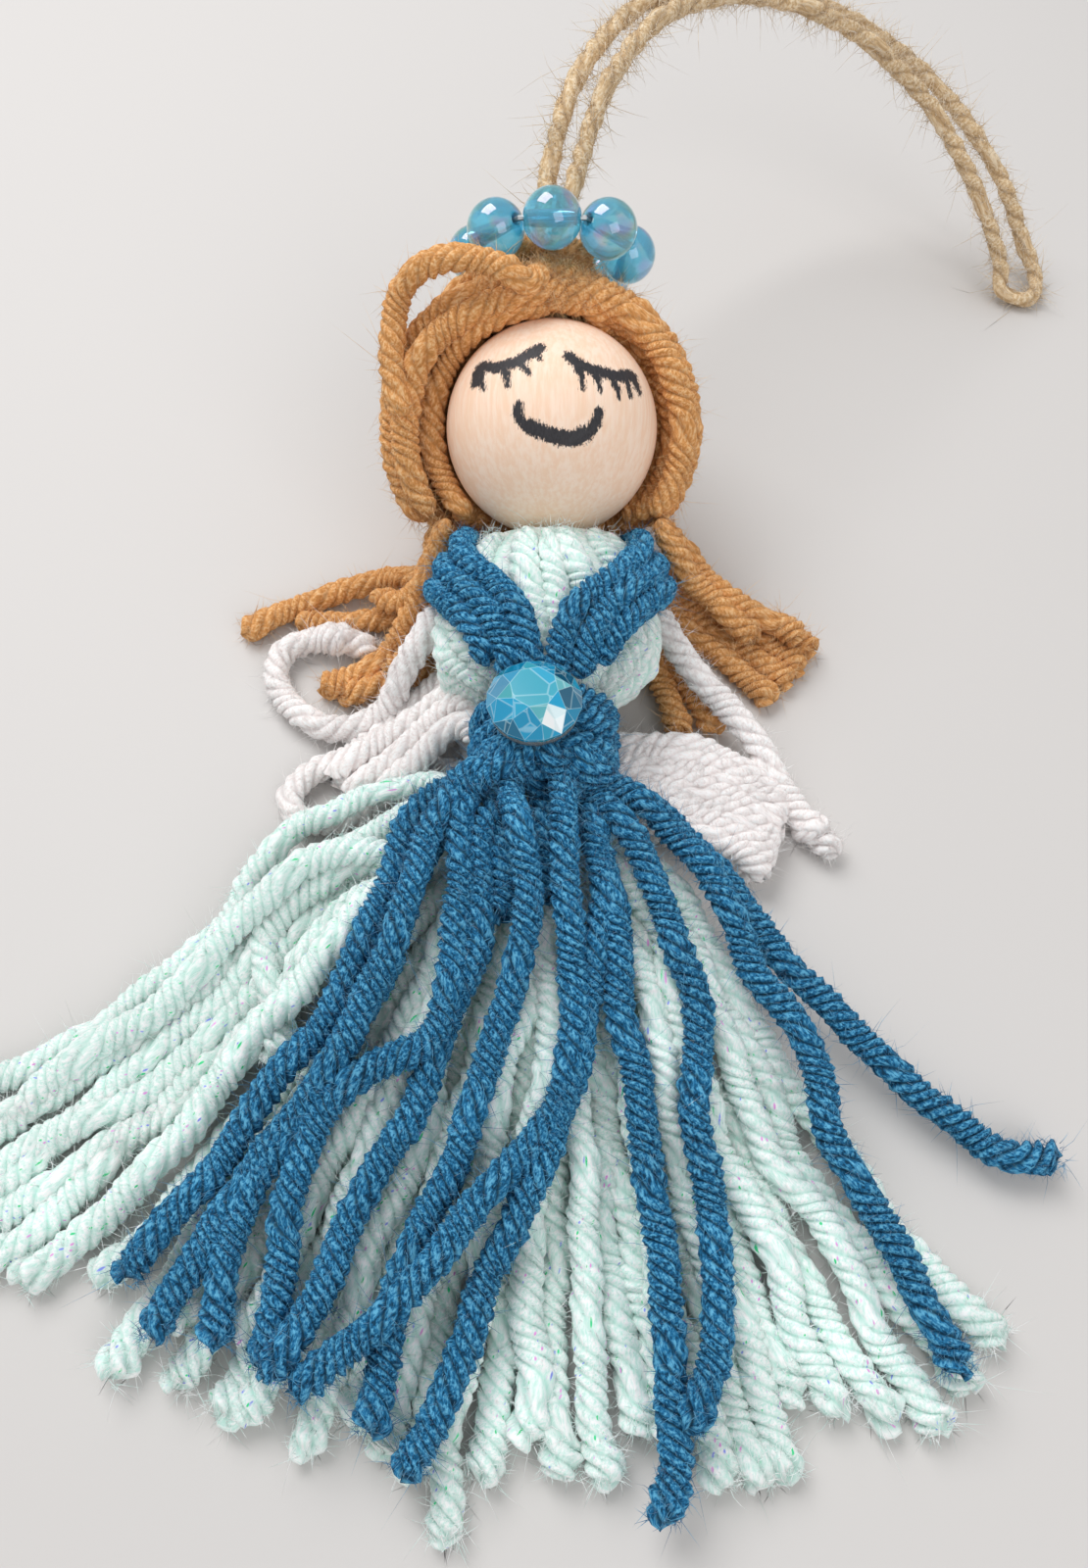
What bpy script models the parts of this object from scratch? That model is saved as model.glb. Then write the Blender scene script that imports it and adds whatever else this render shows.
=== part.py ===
"""Yarn doll hanging ornament, lying on its back with its skirt fanned out.

A wooden bead head with draped yarn hair and a crown of small beads turns on a doubled twine.
The twine is knotted into a padded torso and makes the hanging loop. Two shoulder straps meet
over the waist winding, a faceted stone sits on the winding, a bow makes the wings behind it,
and the skirt is locks of pale yarn under single blue strands.

Metres, +Z up, +Y toward the head, +X to the doll's left hand. The origin is on the flat
underside of the bow's knot, below the middle of the waist.
"""

import math

import bmesh
import bpy
import numpy as np
from mathutils import Matrix, Vector

# Clearances
GAP = 0.0003
TABLE_GAP = 0.0001

# Yarn and twine
HAIR_YARN_DIAMETER = 0.0034
STRAP_YARN_DIAMETER = 0.0034
WRAP_YARN_DIAMETER = 0.0034
BLUE_YARN_DIAMETER = 0.0037
MINT_YARN_DIAMETER = 0.0035
WING_YARN_DIAMETER = 0.0034
ARM_YARN_DIAMETER = 0.0044
TWINE_DIAMETER = 0.0028

# Waist
WAIST_RADIUS = 0.0062
WAIST_FRONT = 0.0064
WRAP_TURNS = 3
WRAP_TURN_GAP = 0.0005
WRAP_POINTS_A_TURN = 24
KNOT_THICKNESS = 0.0034
KNOT_LENGTH = 0.0150
KNOT_WIDTH = 0.0100
KNOT_EDGE = 0.0012

# Neck and head
NECK_X = 0.0011
NECK_Y = 0.03335
NECK_HEIGHT = 0.01785
HEAD_DIAMETER = 0.030
HEAD_BORE_DIAMETER = 0.0070
HEAD_LEAN = math.radians(30)
FACE_VIEW_LIFT = math.radians(43)
HAIR_THICKNESS = 0.0070
HAIR_GROOVE = 0.0012
HAIR_RIM_ANGLE = math.radians(80)
HAIR_PARTING = 0.0004
HAIR_HEM_DROP = 0.0120
TUFT_HEIGHT = 0.0036
TUFT_WALL = 0.0026

# Crown
CROWN_BEADS = 8
CROWN_BEAD_DIAMETER = 0.0080
CROWN_BORE_DIAMETER = 0.0016
CROWN_WIRE_DIAMETER = 0.0007
CROWN_LIFT = 0.0008

# Torso
CHEST_WIDTH = 0.0310
CHEST_DEPTH = 0.0216
CHEST_GROOVE = 0.0008
NECK_HANDLE = 0.0110
WAIST_HANDLE = 0.0095
STRAP_STANDOFF = 0.0006

# Stone
STONE_DIAMETER = 0.0120
STONE_GIRDLE = 0.0009
STONE_CROWN = 0.0030
STONE_OFFSET_X = -0.0012
GLUE_DIAMETER = 0.0090
GLUE_THICKNESS = 0.0008

# Limbs, tails and wings
ARM_LENGTH = 0.0400
TAIL_LENGTH = 0.0400
WING_REACH = 0.0305

# Skirt
SKIRT_LENGTH = 0.0800
SKIRT_ROOT_RADIUS = 0.0093
LOCK_SPREAD = 0.0041
LOCK_ROOT_SPREAD = 0.00075
LOCK_LIFT = 0.0030
LOCK_ROOT_LIFT = 0.0013
ROOT_STAGGER = 0.00035
BLUE_ROW_RISE = 0.0028

# Sizes that follow from the ones above
WELD_DISTANCE = GAP / 30
HEAD_RADIUS = HEAD_DIAMETER / 2
HAIR_INNER_RADIUS = HEAD_RADIUS + GAP
HAIR_OUTER_RADIUS = HAIR_INNER_RADIUS + HAIR_THICKNESS
ACROSS = Vector((1, 0, 0))
BORE_AXIS = Vector((0, math.cos(HEAD_LEAN), math.sin(HEAD_LEAN)))
FACE_AXIS = Vector((0, -math.sin(HEAD_LEAN), math.cos(HEAD_LEAN)))
RIM_AXIS = Vector((0, -math.cos(FACE_VIEW_LIFT), math.sin(FACE_VIEW_LIFT)))
NECK = Vector((NECK_X, NECK_Y, NECK_HEIGHT))
HEAD_CENTRE = NECK + BORE_AXIS * (HEAD_RADIUS + GAP)
WRAP_RADIUS = WAIST_RADIUS + GAP + WRAP_YARN_DIAMETER / 2
WRAP_OUTER_RADIUS = WRAP_RADIUS + WRAP_YARN_DIAMETER / 2
WAIST_HEIGHT = KNOT_THICKNESS + GAP + WRAP_OUTER_RADIUS
WRAP_PITCH = WRAP_YARN_DIAMETER + WRAP_TURN_GAP
WRAP_LENGTH = WRAP_TURNS * WRAP_PITCH + WRAP_YARN_DIAMETER
WRAP_REAR = WAIST_FRONT - GAP - WRAP_LENGTH
SKIRT_TOP = WRAP_REAR - GAP
CROWN_DISTANCE = HAIR_OUTER_RADIUS + GAP + CROWN_LIFT + CROWN_BEAD_DIAMETER / 2
CROWN_RADIUS = (CROWN_BEAD_DIAMETER + GAP) / (2 * math.sin(math.pi / CROWN_BEADS))
CROWN_RISE = math.sqrt(CROWN_DISTANCE**2 - CROWN_RADIUS**2)
TUFT_FOOT = HAIR_OUTER_RADIUS + GAP
CORD_TOP = TUFT_FOOT + TUFT_HEIGHT

# Steps that every tube is drawn with
ROUTE_STEPS_A_POINT = 16


def clear_scene():
    """Start from an empty scene."""
    for old in list(bpy.data.objects):
        bpy.data.objects.remove(old, do_unlink=True)


clear_scene()
doll = bpy.data.collections.new("yarn_doll")
scratch = bpy.data.collections.new("tubes_being_joined")
bpy.context.scene.collection.children.link(doll)
bpy.context.scene.collection.children.link(scratch)


def empty(name, location, parent=None):
    """A named pivot that pieces hang from."""
    pivot = bpy.data.objects.new(name, None)
    pivot.empty_display_size = TWINE_DIAMETER
    pivot.location = location
    pivot.hide_render = True
    doll.objects.link(pivot)
    if parent:
        pivot.parent = parent
        pivot.matrix_parent_inverse = Matrix.Translation(-parent.location)
    return pivot


def material(name, colour, roughness, metallic=0.0, transmission=0.0):
    """One Principled BSDF material."""
    made = bpy.data.materials.new(name)
    made.use_nodes = True
    shader = made.node_tree.nodes["Principled BSDF"]
    shader.inputs["Base Color"].default_value = (*colour, 1.0)
    shader.inputs["Roughness"].default_value = roughness
    shader.inputs["Metallic"].default_value = metallic
    shader.inputs["Transmission Weight"].default_value = transmission
    made.diffuse_color = (*colour, 1.0)
    return made


def place(piece, finish, pivot=None):
    """Put a finished piece in the doll's collection, on its own pivot."""
    doll.objects.link(piece)
    piece.data.materials.clear()
    piece.data.materials.append(finish)
    if pivot:
        piece.parent = pivot
        bpy.context.view_layer.update()
        piece.matrix_parent_inverse = pivot.matrix_world.inverted()
    return piece


def smooth_route(points, spacing):
    """Points about spacing apart on a smooth curve through the route's own points."""
    knots = np.array([tuple(p) for p in points])
    padded = np.vstack([2 * knots[0] - knots[1], knots, 2 * knots[-1] - knots[-2]])
    fine = []
    for a, b, c, d in zip(padded, padded[1:], padded[2:], padded[3:]):
        for u in np.linspace(0, 1, ROUTE_STEPS_A_POINT, endpoint=False):
            fine.append(
                b + 0.5 * u * (c - a)
                + u**2 * (a - 2.5 * b + 2 * c - 0.5 * d)
                + u**3 * 0.5 * (3 * b - 3 * c + d - a)
            )
    fine.append(knots[-1])
    fine = np.array(fine)
    along = np.concatenate([[0], np.cumsum(np.linalg.norm(np.diff(fine, axis=0), axis=1))])
    count = max(3, round(along[-1] / spacing) + 1)
    wanted = np.linspace(0, along[-1], count)
    return np.stack([np.interp(wanted, along, fine[:, k]) for k in range(3)], axis=1)


def tube(name, points, diameter, thickness_share=None, resolution=1):
    """A round tube with filled caps along the points, thinned or swollen by its shares."""
    curve = bpy.data.curves.new(name, "CURVE")
    curve.dimensions = "3D"
    curve.bevel_depth = diameter / 2
    curve.bevel_resolution = resolution
    curve.use_fill_caps = True
    spline = curve.splines.new("POLY")
    spline.points.add(len(points) - 1)
    for index, (point, place_on) in enumerate(zip(spline.points, points)):
        point.co = (*place_on, 1.0)
        if thickness_share is not None:
            point.radius = thickness_share[index]
    return bpy.data.objects.new(name, curve)


def as_mesh(piece):
    """The mesh that a curve draws, with its caps welded on."""
    scratch.objects.link(piece)
    bpy.context.view_layer.update()
    evaluated = piece.evaluated_get(bpy.context.evaluated_depsgraph_get())
    mesh = bpy.data.meshes.new_from_object(evaluated)
    made = bpy.data.objects.new(piece.name, mesh)
    made.matrix_world = piece.matrix_world
    bpy.data.objects.remove(piece, do_unlink=True)
    form = bmesh.new()
    form.from_mesh(mesh)
    bmesh.ops.remove_doubles(form, verts=form.verts, dist=WELD_DISTANCE)
    form.to_mesh(mesh)
    form.free()
    return made


def fused(name, tubes):
    """Several tubes that meet at their roots, joined into one body."""
    first, *others = [as_mesh(one) for one in tubes]
    scratch.objects.link(first)
    for other in others:
        scratch.objects.link(other)
        step = first.modifiers.new("join", "BOOLEAN")
        step.operation = "UNION"
        step.object = other
        step.use_self = True
    bpy.context.view_layer.update()
    evaluated = first.evaluated_get(bpy.context.evaluated_depsgraph_get())
    made = bpy.data.objects.new(name, bpy.data.meshes.new_from_object(evaluated))
    for spent in [first, *others]:
        bpy.data.objects.remove(spent, do_unlink=True)
    made.name = name
    return made


def strip(form, outer, inner):
    """Triangles between two edges that run side by side with unlike numbers of points."""
    a = 0
    b = 0
    while a < len(outer) - 1 or b < len(inner) - 1:
        outer_is_next = (a + 1) * (len(inner) - 1) <= (b + 1) * (len(outer) - 1)
        if a < len(outer) - 1 and (outer_is_next or b == len(inner) - 1):
            form.faces.new((outer[a], outer[a + 1], inner[b]))
            a += 1
        else:
            form.faces.new((outer[a], inner[b + 1], inner[b]))
            b += 1


def loft(name, rings, outer_count=0):
    """A closed skin through rings of equal numbers of points.

    Its ends are flat, or strips between the first outer_count points of a ring and the others."""
    form = bmesh.new()
    rows = [[form.verts.new(tuple(p)) for p in ring] for ring in rings]
    for row, following in zip(rows, rows[1:]):
        for k in range(len(row)):
            after = (k + 1) % len(row)
            form.faces.new((row[k], row[after], following[after], following[k]))
    for end in (rows[0], rows[-1]):
        if outer_count:
            strip(form, end[:outer_count], list(reversed(end[outer_count:])))
        else:
            form.faces.new(end)
    bmesh.ops.recalc_face_normals(form, faces=form.faces)
    mesh = bpy.data.meshes.new(name)
    form.to_mesh(mesh)
    form.free()
    return bpy.data.objects.new(name, mesh)


def turned(name, profile, steps):
    """A profile of (radius, height) points turned once round local Z.

    The profile is closed unless it meets the axis."""
    mesh = bpy.data.meshes.new(name)
    points = [(radius, 0, height) for radius, height in profile]
    edges = list(zip(range(len(points)), range(1, len(points))))
    if profile[0][0] > 0:
        edges.append((len(points) - 1, 0))
    mesh.from_pydata(points, edges, [])
    made = bpy.data.objects.new(name, mesh)
    screw = made.modifiers.new("turn", "SCREW")
    screw.steps = steps
    screw.render_steps = steps
    screw.use_merge_vertices = True
    screw.merge_threshold = WELD_DISTANCE
    return made


def aimed(piece, location, axis):
    """Stand the piece's local Z along the axis, at the location."""
    turn = axis.to_track_quat("Z", "Y").to_matrix().to_4x4()
    piece.matrix_world = Matrix.Translation(location) @ turn
    return piece


def smoothed(piece, angle=math.radians(40)):
    """Shade the piece smooth but for its edges."""
    piece.data.shade_smooth()
    piece.data.set_sharp_from_angle(angle=angle)
    return piece


def eased(value):
    """0 to 1 with a soft start and a soft end."""
    held = min(max(value, 0.0), 1.0)
    return held * held * (3 - 2 * held)


def passed(value, span):
    """How far a value has gone through a span, eased from 0 to 1."""
    return eased((value - span[0]) / (span[1] - span[0]))


HAIR = material("hair_yarn", (0.49, 0.25, 0.085), 0.85)
MINT = material("mint_yarn", (0.60, 0.83, 0.77), 0.80)
BLUE = material("blue_yarn", (0.012, 0.085, 0.19), 0.85)
WHITE = material("white_yarn", (0.80, 0.75, 0.74), 0.85)
TWINE = material("twine", (0.68, 0.48, 0.26), 0.90)
WOOD = material("head_wood", (0.80, 0.60, 0.46), 0.65)
CROWN = material("crown_bead", (0.05, 0.46, 0.72), 0.08, transmission=0.6)
STONE = material("stone", (0.02, 0.38, 0.62), 0.05, transmission=0.7)
GLUE = material("glue", (0.75, 0.78, 0.80), 0.30)
WIRE = material("crown_wire", (0.62, 0.62, 0.64), 0.30, metallic=1.0)

head_pivot = empty("head_pivot", HEAD_CENTRE)
crown_pivot = empty("crown_pivot", HEAD_CENTRE + BORE_AXIS * CROWN_RISE, head_pivot)

# Torso

CHEST_STRANDS = 16
CHEST_STRAND_ARC_SHARES = (0.0, 0.33, 0.67)
CHEST_STRAND_GROOVE_SHARES = (1.0, 0.0, 0.0)
CHEST_WIDTH_SHARE = {0.0: 0.56, 0.12: 0.76, 0.3: 0.90, 0.55: 1.0, 0.76: 0.97, 0.9: 0.66}
CHEST_DEPTH_SHARE = {0.0: 0.70, 0.12: 0.88, 0.3: 1.0, 0.55: 1.0, 0.76: 0.93, 0.9: 0.74}
NORMAL_STEP_SHARE = 0.03
CHEST_STATION_SHARE = (0.0, 0.05, 0.12, 0.2, 0.3, 0.42, 0.55, 0.66, 0.76, 0.84, 0.9, 0.95, 1.0)


def chest_line(t):
    """The torso's centre line, from the bead down to the winding, and its direction."""
    waist = Vector((0, WAIST_FRONT, WAIST_HEIGHT))
    handles = (NECK, NECK - BORE_AXIS * NECK_HANDLE, waist + Vector((0, WAIST_HANDLE, 0)), waist)
    weights = ((1 - t) ** 3, 3 * t * (1 - t) ** 2, 3 * t**2 * (1 - t), t**3)
    point = sum((h * w for h, w in zip(handles, weights)), Vector())
    legs = [b - a for a, b in zip(handles, handles[1:])]
    slopes = ((1 - t) ** 2, 2 * t * (1 - t), t**2)
    heading = sum((leg * w for leg, w in zip(legs, slopes)), Vector())
    return point, heading.normalized()


def chest_half_sizes(t):
    """Half the torso's width and depth at station t."""
    stations = [*CHEST_WIDTH_SHARE, 1.0]
    widths = [*(CHEST_WIDTH / 2 * share for share in CHEST_WIDTH_SHARE.values()), WAIST_RADIUS]
    depths = [*(CHEST_DEPTH / 2 * share for share in CHEST_DEPTH_SHARE.values()), WAIST_RADIUS]
    return np.interp(t, stations, widths), np.interp(t, stations, depths)


def chest_surface(t, angle):
    """A point on the torso at station t and angle (0 at +X, 90 degrees in front)."""
    centre, heading = chest_line(t)
    back = ACROSS.cross(heading)
    half_width, half_depth = chest_half_sizes(t)
    return centre + ACROSS * (math.cos(angle) * half_width) - back * (math.sin(angle) * half_depth)


def chest_point(t, angle, outward=0.0):
    """The torso's point at t and angle, moved outward along the surface's own normal."""
    step = NORMAL_STEP_SHARE
    along = chest_surface(min(t + step, 1), angle) - chest_surface(t - step, angle)
    around = chest_surface(t, angle + step) - chest_surface(t, angle - step)
    normal = around.cross(along).normalized()
    return chest_surface(t, angle) + normal * outward


def make_torso():
    """The padded body: upright strands round elliptical sections, drawn into the winding's core."""
    strand_angle = 2 * math.pi / CHEST_STRANDS
    spots = []
    for strand in range(CHEST_STRANDS):
        for arc, groove in zip(CHEST_STRAND_ARC_SHARES, CHEST_STRAND_GROOVE_SHARES):
            spots.append((strand_angle * (strand + arc), groove))
    rings = []
    for t in CHEST_STATION_SHARE:
        centre = chest_line(t)[0]
        narrowed = chest_half_sizes(t)[0] / (CHEST_WIDTH / 2)
        ring = []
        for angle, groove in spots:
            spoke = chest_surface(t, angle) - centre
            ring.append(centre + spoke - spoke.normalized() * (CHEST_GROOVE * groove * narrowed))
        rings.append(ring)
    core_end = Vector((0, WRAP_REAR - WAIST_FRONT, 0))
    rings.append([point + core_end for point in rings[-1]])
    place(smoothed(loft("torso", rings)), MINT)


make_torso()

# Shoulder straps

STRAP_STATION_SHARE = (0.12, 0.14, 0.2, 0.3, 0.42, 0.55, 0.66, 0.76, 0.84, 0.9, 0.94, 0.96)
STRAP_ANGLES = (-32, -14, 6, 25, 36, 45, 51, 55, 56, 53, 48, 42)
STRAP_STRANDS = 3
STRAP_OVERLAP_SHARE = 0.88
STRAP_ARC_POINTS = 4
STRAP_REACH_SHARE = (0.06, 0.955)


def strap_section():
    """Outline of strands lying side by side, as (across, outward) points."""
    radius = STRAP_YARN_DIAMETER / 2
    step = STRAP_YARN_DIAMETER * STRAP_OVERLAP_SHARE
    dip = math.acos(STRAP_OVERLAP_SHARE)
    outline = []
    for side in (1, -1):
        for k in range(STRAP_STRANDS):
            middle = side * step * ((STRAP_STRANDS - 1) / 2 - k)
            start = dip if k else 0.0
            stop = math.pi - dip if k < STRAP_STRANDS - 1 else math.pi
            arc = np.linspace(start, stop, STRAP_ARC_POINTS)
            last = len(arc) - 1 if k < STRAP_STRANDS - 1 else len(arc)
            for turn in arc[:last]:
                across = middle + side * radius * math.cos(turn)
                outline.append((across, side * radius * math.sin(turn)))
        outline.pop()
    return outline


def make_strap(name, side):
    """A band of strands that hugs the torso, from the winding's edge over the shoulder to the back."""
    section = strap_section()
    lift = STRAP_STANDOFF + STRAP_YARN_DIAMETER / 2
    spots = []
    for t, degrees in zip(STRAP_STATION_SHARE, STRAP_ANGLES):
        spots.append((t, math.radians(degrees if side > 0 else 180 - degrees)))
    chest_length = (chest_line(1.0)[0] - chest_line(0.0)[0]).length
    rings = []
    for k, (t, angle) in enumerate(spots):
        before = spots[max(k - 1, 0)]
        after = spots[min(k + 1, len(spots) - 1)]
        girth = sum(chest_half_sizes(t)) / 2 + lift
        downward = (after[0] - before[0]) * chest_length
        inward = (after[1] - before[1]) * girth
        run = Vector((downward, inward)).normalized()
        ring = []
        for across, outward in section:
            beside = angle + across * run.x / girth
            ahead = np.clip(t - across * run.y / chest_length, *STRAP_REACH_SHARE)
            ring.append(chest_point(ahead, beside, lift + outward))
        rings.append(ring)
    place(smoothed(loft(name, rings)), BLUE)


for name, side in (("strap_right", 1), ("strap_left", -1)):
    make_strap(name, side)

# Waist winding

WRAP_START_ANGLE = math.radians(-90)


def make_winding():
    """One unbroken strand wound round the waist, ends tucked straight under the back."""
    centre_y = (WAIST_FRONT - GAP + WRAP_REAR) / 2
    steps = WRAP_TURNS * WRAP_POINTS_A_TURN
    turns = [WRAP_START_ANGLE + 2 * math.pi * k / WRAP_POINTS_A_TURN for k in range(steps + 1)]
    points = []
    for k, angle in enumerate(turns):
        along = centre_y + WRAP_PITCH * (WRAP_TURNS / 2 - k / WRAP_POINTS_A_TURN)
        height = WAIST_HEIGHT + WRAP_RADIUS * math.sin(angle)
        points.append(Vector((WRAP_RADIUS * math.cos(angle), along, height)))
    first = (points[0] - points[1]).normalized() * WRAP_YARN_DIAMETER
    last = (points[-1] - points[-2]).normalized() * WRAP_YARN_DIAMETER
    points = [points[0] + first, *points, points[-1] + last]
    line = np.array([tuple(p) for p in points])
    far = WRAP_POINTS_A_TURN // 2
    least = min(
        np.linalg.norm(line[k] - line[k + far:], axis=1).min() for k in range(len(line) - far)
    )
    print("winding: least gap to itself", round((least - WRAP_YARN_DIAMETER) * 1000, 3), "mm")
    place(tube("waist_winding", points, WRAP_YARN_DIAMETER), BLUE)


make_winding()

# Stone and its glue

STONE_FACETS = 12
STONE_ROW_SHARE = (
    # radius, height, part of a facet turned
    (1.0, 0.0, 0.0),
    (1.0, 0.23, 0.0),
    (0.80, 0.64, 0.5),
    (0.48, 1.0, 0.0),
)


def make_stone():
    """A flat-backed round stone: a girdle and two rows of facets up to a small table."""
    foot = WAIST_HEIGHT + WRAP_OUTER_RADIUS + GAP
    glue = turned("stone_glue", [
        (0, GLUE_THICKNESS),
        (GLUE_DIAMETER / 2, GLUE_THICKNESS),
        (GLUE_DIAMETER / 2 - GLUE_THICKNESS / 2, 0),
        (0, 0),
    ], 2 * STONE_FACETS)
    glue.location = (STONE_OFFSET_X, 0, foot)
    place(glue, GLUE)
    rings = []
    for width, height, turn in STONE_ROW_SHARE:
        radius = STONE_DIAMETER / 2 * width
        level = (STONE_GIRDLE + STONE_CROWN) * height
        ring = []
        for k in range(STONE_FACETS):
            angle = 2 * math.pi * (k + turn) / STONE_FACETS
            ring.append((radius * math.cos(angle), radius * math.sin(angle), level))
        rings.append(ring)
    stone = loft("stone", rings)
    stone.location = (STONE_OFFSET_X, 0, foot + GLUE_THICKNESS + GAP)
    place(stone, STONE)


make_stone()

# Head bead

BEAD_PROFILE_STEPS = 13
HEAD_TURN_STEPS = 28


def bead_profile(radius, bore_radius, steps):
    """Down the outside of a ball from one bore mouth to the other, closed along the bore."""
    mouth = math.asin(bore_radius / radius)
    angles = np.linspace(mouth, math.pi - mouth, steps)
    return [(radius * math.sin(a), radius * math.cos(a)) for a in angles]


def make_head_bead():
    """The wooden ball with its bore along the twine."""
    profile = bead_profile(HEAD_RADIUS, HEAD_BORE_DIAMETER / 2, BEAD_PROFILE_STEPS)
    bead = turned("head_bead", profile, HEAD_TURN_STEPS)
    place(aimed(bead, HEAD_CENTRE, BORE_AXIS), WOOD, head_pivot)


make_head_bead()

# Hair over the head

HAIR_STATION_SHARES = (0.0, 0.07, 0.158, 0.18, 0.22, 0.28, 0.36, 0.46, 0.56, 0.67, 0.78, 0.89, 1.0)
HAIR_STRAND_EDGE_SHARES = (0.0, 0.115, 0.24, 0.345, 0.46, 0.58, 0.68, 0.79, 0.90, 1.0)
HAIR_STRAND_ARC_SHARES = (0.0, 0.22, 0.78)
HAIR_STRAND_RISE_SHARES = (0.0, 0.92, 0.92)
HAIR_RIM_LEVEL_SHARES = (0.25, 0.7)
HAIR_RIM_BULGE_SHARE = 0.028
HAIR_LINING_POINTS = 8


def rim_turn(polar):
    """How far round the bore the face opening reaches, at an angle down from the bore's top."""
    lean = BORE_AXIS.angle(RIM_AXIS)
    level = math.cos(HAIR_RIM_ANGLE) - math.cos(polar) * math.cos(lean)
    return math.acos(np.clip(level / (math.sin(polar) * math.sin(lean)), -1, 1))


def hair_point(radius, station, share, side):
    """A point of the hair: its station from the bore's wall down to the hem, and its share of the
    way from the face opening round to the back parting."""
    top = math.asin(HEAD_BORE_DIAMETER / 2 / radius)
    hem = math.acos(-HAIR_HEM_DROP / radius)
    polar = top + (hem - top) * station
    parting = math.asin(HAIR_PARTING / 2 / (radius * math.sin(polar)))
    start = max(rim_turn(polar), parting)
    turn = max(parting, start + (math.pi - parting - start) * share)
    around = FACE_AXIS * math.cos(turn) + ACROSS * (side * math.sin(turn))
    return HEAD_CENTRE + (around * math.sin(polar) + BORE_AXIS * math.cos(polar)) * radius


def make_hair(name, side):
    """Half of the draped hair: strands from the twine down to the nape, open round the face."""
    edges = HAIR_STRAND_EDGE_SHARES
    outside = []
    for level in HAIR_RIM_LEVEL_SHARES:
        outside.append((HAIR_INNER_RADIUS + HAIR_THICKNESS * level, -HAIR_RIM_BULGE_SHARE))
    for edge, following in zip(edges, edges[1:]):
        for arc, rise in zip(HAIR_STRAND_ARC_SHARES, HAIR_STRAND_RISE_SHARES):
            radius = HAIR_OUTER_RADIUS - HAIR_GROOVE * (1 - rise)
            outside.append((radius, edge + (following - edge) * arc))
    outside.append((HAIR_OUTER_RADIUS - HAIR_GROOVE, edges[-1]))
    lining = [(HAIR_INNER_RADIUS, share) for share in np.linspace(1, 0, HAIR_LINING_POINTS)]
    rings = []
    for station in HAIR_STATION_SHARES:
        ring = [hair_point(radius, station, share, side) for radius, share in [*outside, *lining]]
        rings.append(ring)
    place(smoothed(loft(name, rings, len(outside))), HAIR, head_pivot)


for name, side in (("hair_right", 1), ("hair_left", -1)):
    make_hair(name, side)

TUFT_TURN_STEPS = 20
TUFT_ROUND_SHARE = 0.33


def make_tuft():
    """The gathered top of the hair, a soft collar round the twine."""
    inner = HEAD_BORE_DIAMETER / 2
    outer = inner + TUFT_WALL
    foot = TUFT_FOOT
    top = foot + TUFT_HEIGHT
    round_over = TUFT_WALL * TUFT_ROUND_SHARE
    tuft = turned("hair_tuft", [
        (inner, top),
        (outer - round_over, top),
        (outer, top - round_over),
        (outer, foot + round_over),
        (outer - round_over, foot),
        (inner, foot),
    ], TUFT_TURN_STEPS)
    place(aimed(tuft, HEAD_CENTRE, BORE_AXIS), HAIR, head_pivot)


make_tuft()

HAIR_LOOP_SHARE = (
    (-0.615, 0.737, 0.195),
    (-0.69, 0.95, 0.34),
    (-0.78, 1.08, 0.42),
    (-0.90, 1.00, 0.24),
    (-0.95, 0.78, 0.04),
    (-0.859, 0.459, -0.098),
)


def make_hair_loop():
    """The loose strand that stands off the top left, in shares of the hair's reach."""
    reach = HAIR_OUTER_RADIUS + GAP + HAIR_YARN_DIAMETER / 2
    route = [HEAD_CENTRE + reach * Vector(share) for share in HAIR_LOOP_SHARE]
    points = smooth_route(route, HAIR_YARN_DIAMETER)
    place(tube("hair_loop", points, HAIR_YARN_DIAMETER), HAIR, head_pivot)


make_hair_loop()

# Crown

CROWN_BEAD_PROFILE_STEPS = 7
CROWN_BEAD_TURN_STEPS = 14
CROWN_WIRE_SIDES = 6


def make_crown():
    """Round beads on a wire ring that lies on the hair round the twine."""
    centre = HEAD_CENTRE + BORE_AXIS * CROWN_RISE
    bead_radius = CROWN_BEAD_DIAMETER / 2
    profile = bead_profile(bead_radius, CROWN_BORE_DIAMETER / 2, CROWN_BEAD_PROFILE_STEPS)
    for k in range(CROWN_BEADS):
        angle = 2 * math.pi * k / CROWN_BEADS
        outward = ACROSS * math.cos(angle) + FACE_AXIS * math.sin(angle)
        along = BORE_AXIS.cross(outward)
        bead = turned(f"crown_bead_{k + 1}", profile, CROWN_BEAD_TURN_STEPS)
        place(aimed(bead, centre + outward * CROWN_RADIUS, along), CROWN, crown_pivot)
    corner_radius = CROWN_RADIUS / math.cos(math.pi / CROWN_BEADS)
    bpy.ops.mesh.primitive_torus_add(
        major_segments=CROWN_BEADS,
        minor_segments=CROWN_WIRE_SIDES,
        major_radius=corner_radius,
        minor_radius=CROWN_WIRE_DIAMETER / 2,
    )
    ring = bpy.context.object
    ring.name = "crown_wire"
    for owner in list(ring.users_collection):
        owner.objects.unlink(ring)
    half_step = Matrix.Rotation(math.pi / CROWN_BEADS, 4, "Z")
    basis = Matrix((ACROSS, FACE_AXIS, ACROSS.cross(FACE_AXIS))).transposed().to_4x4()
    ring.matrix_world = Matrix.Translation(centre) @ basis @ half_step
    place(ring, WIRE, crown_pivot)


make_crown()

# Twine

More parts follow.
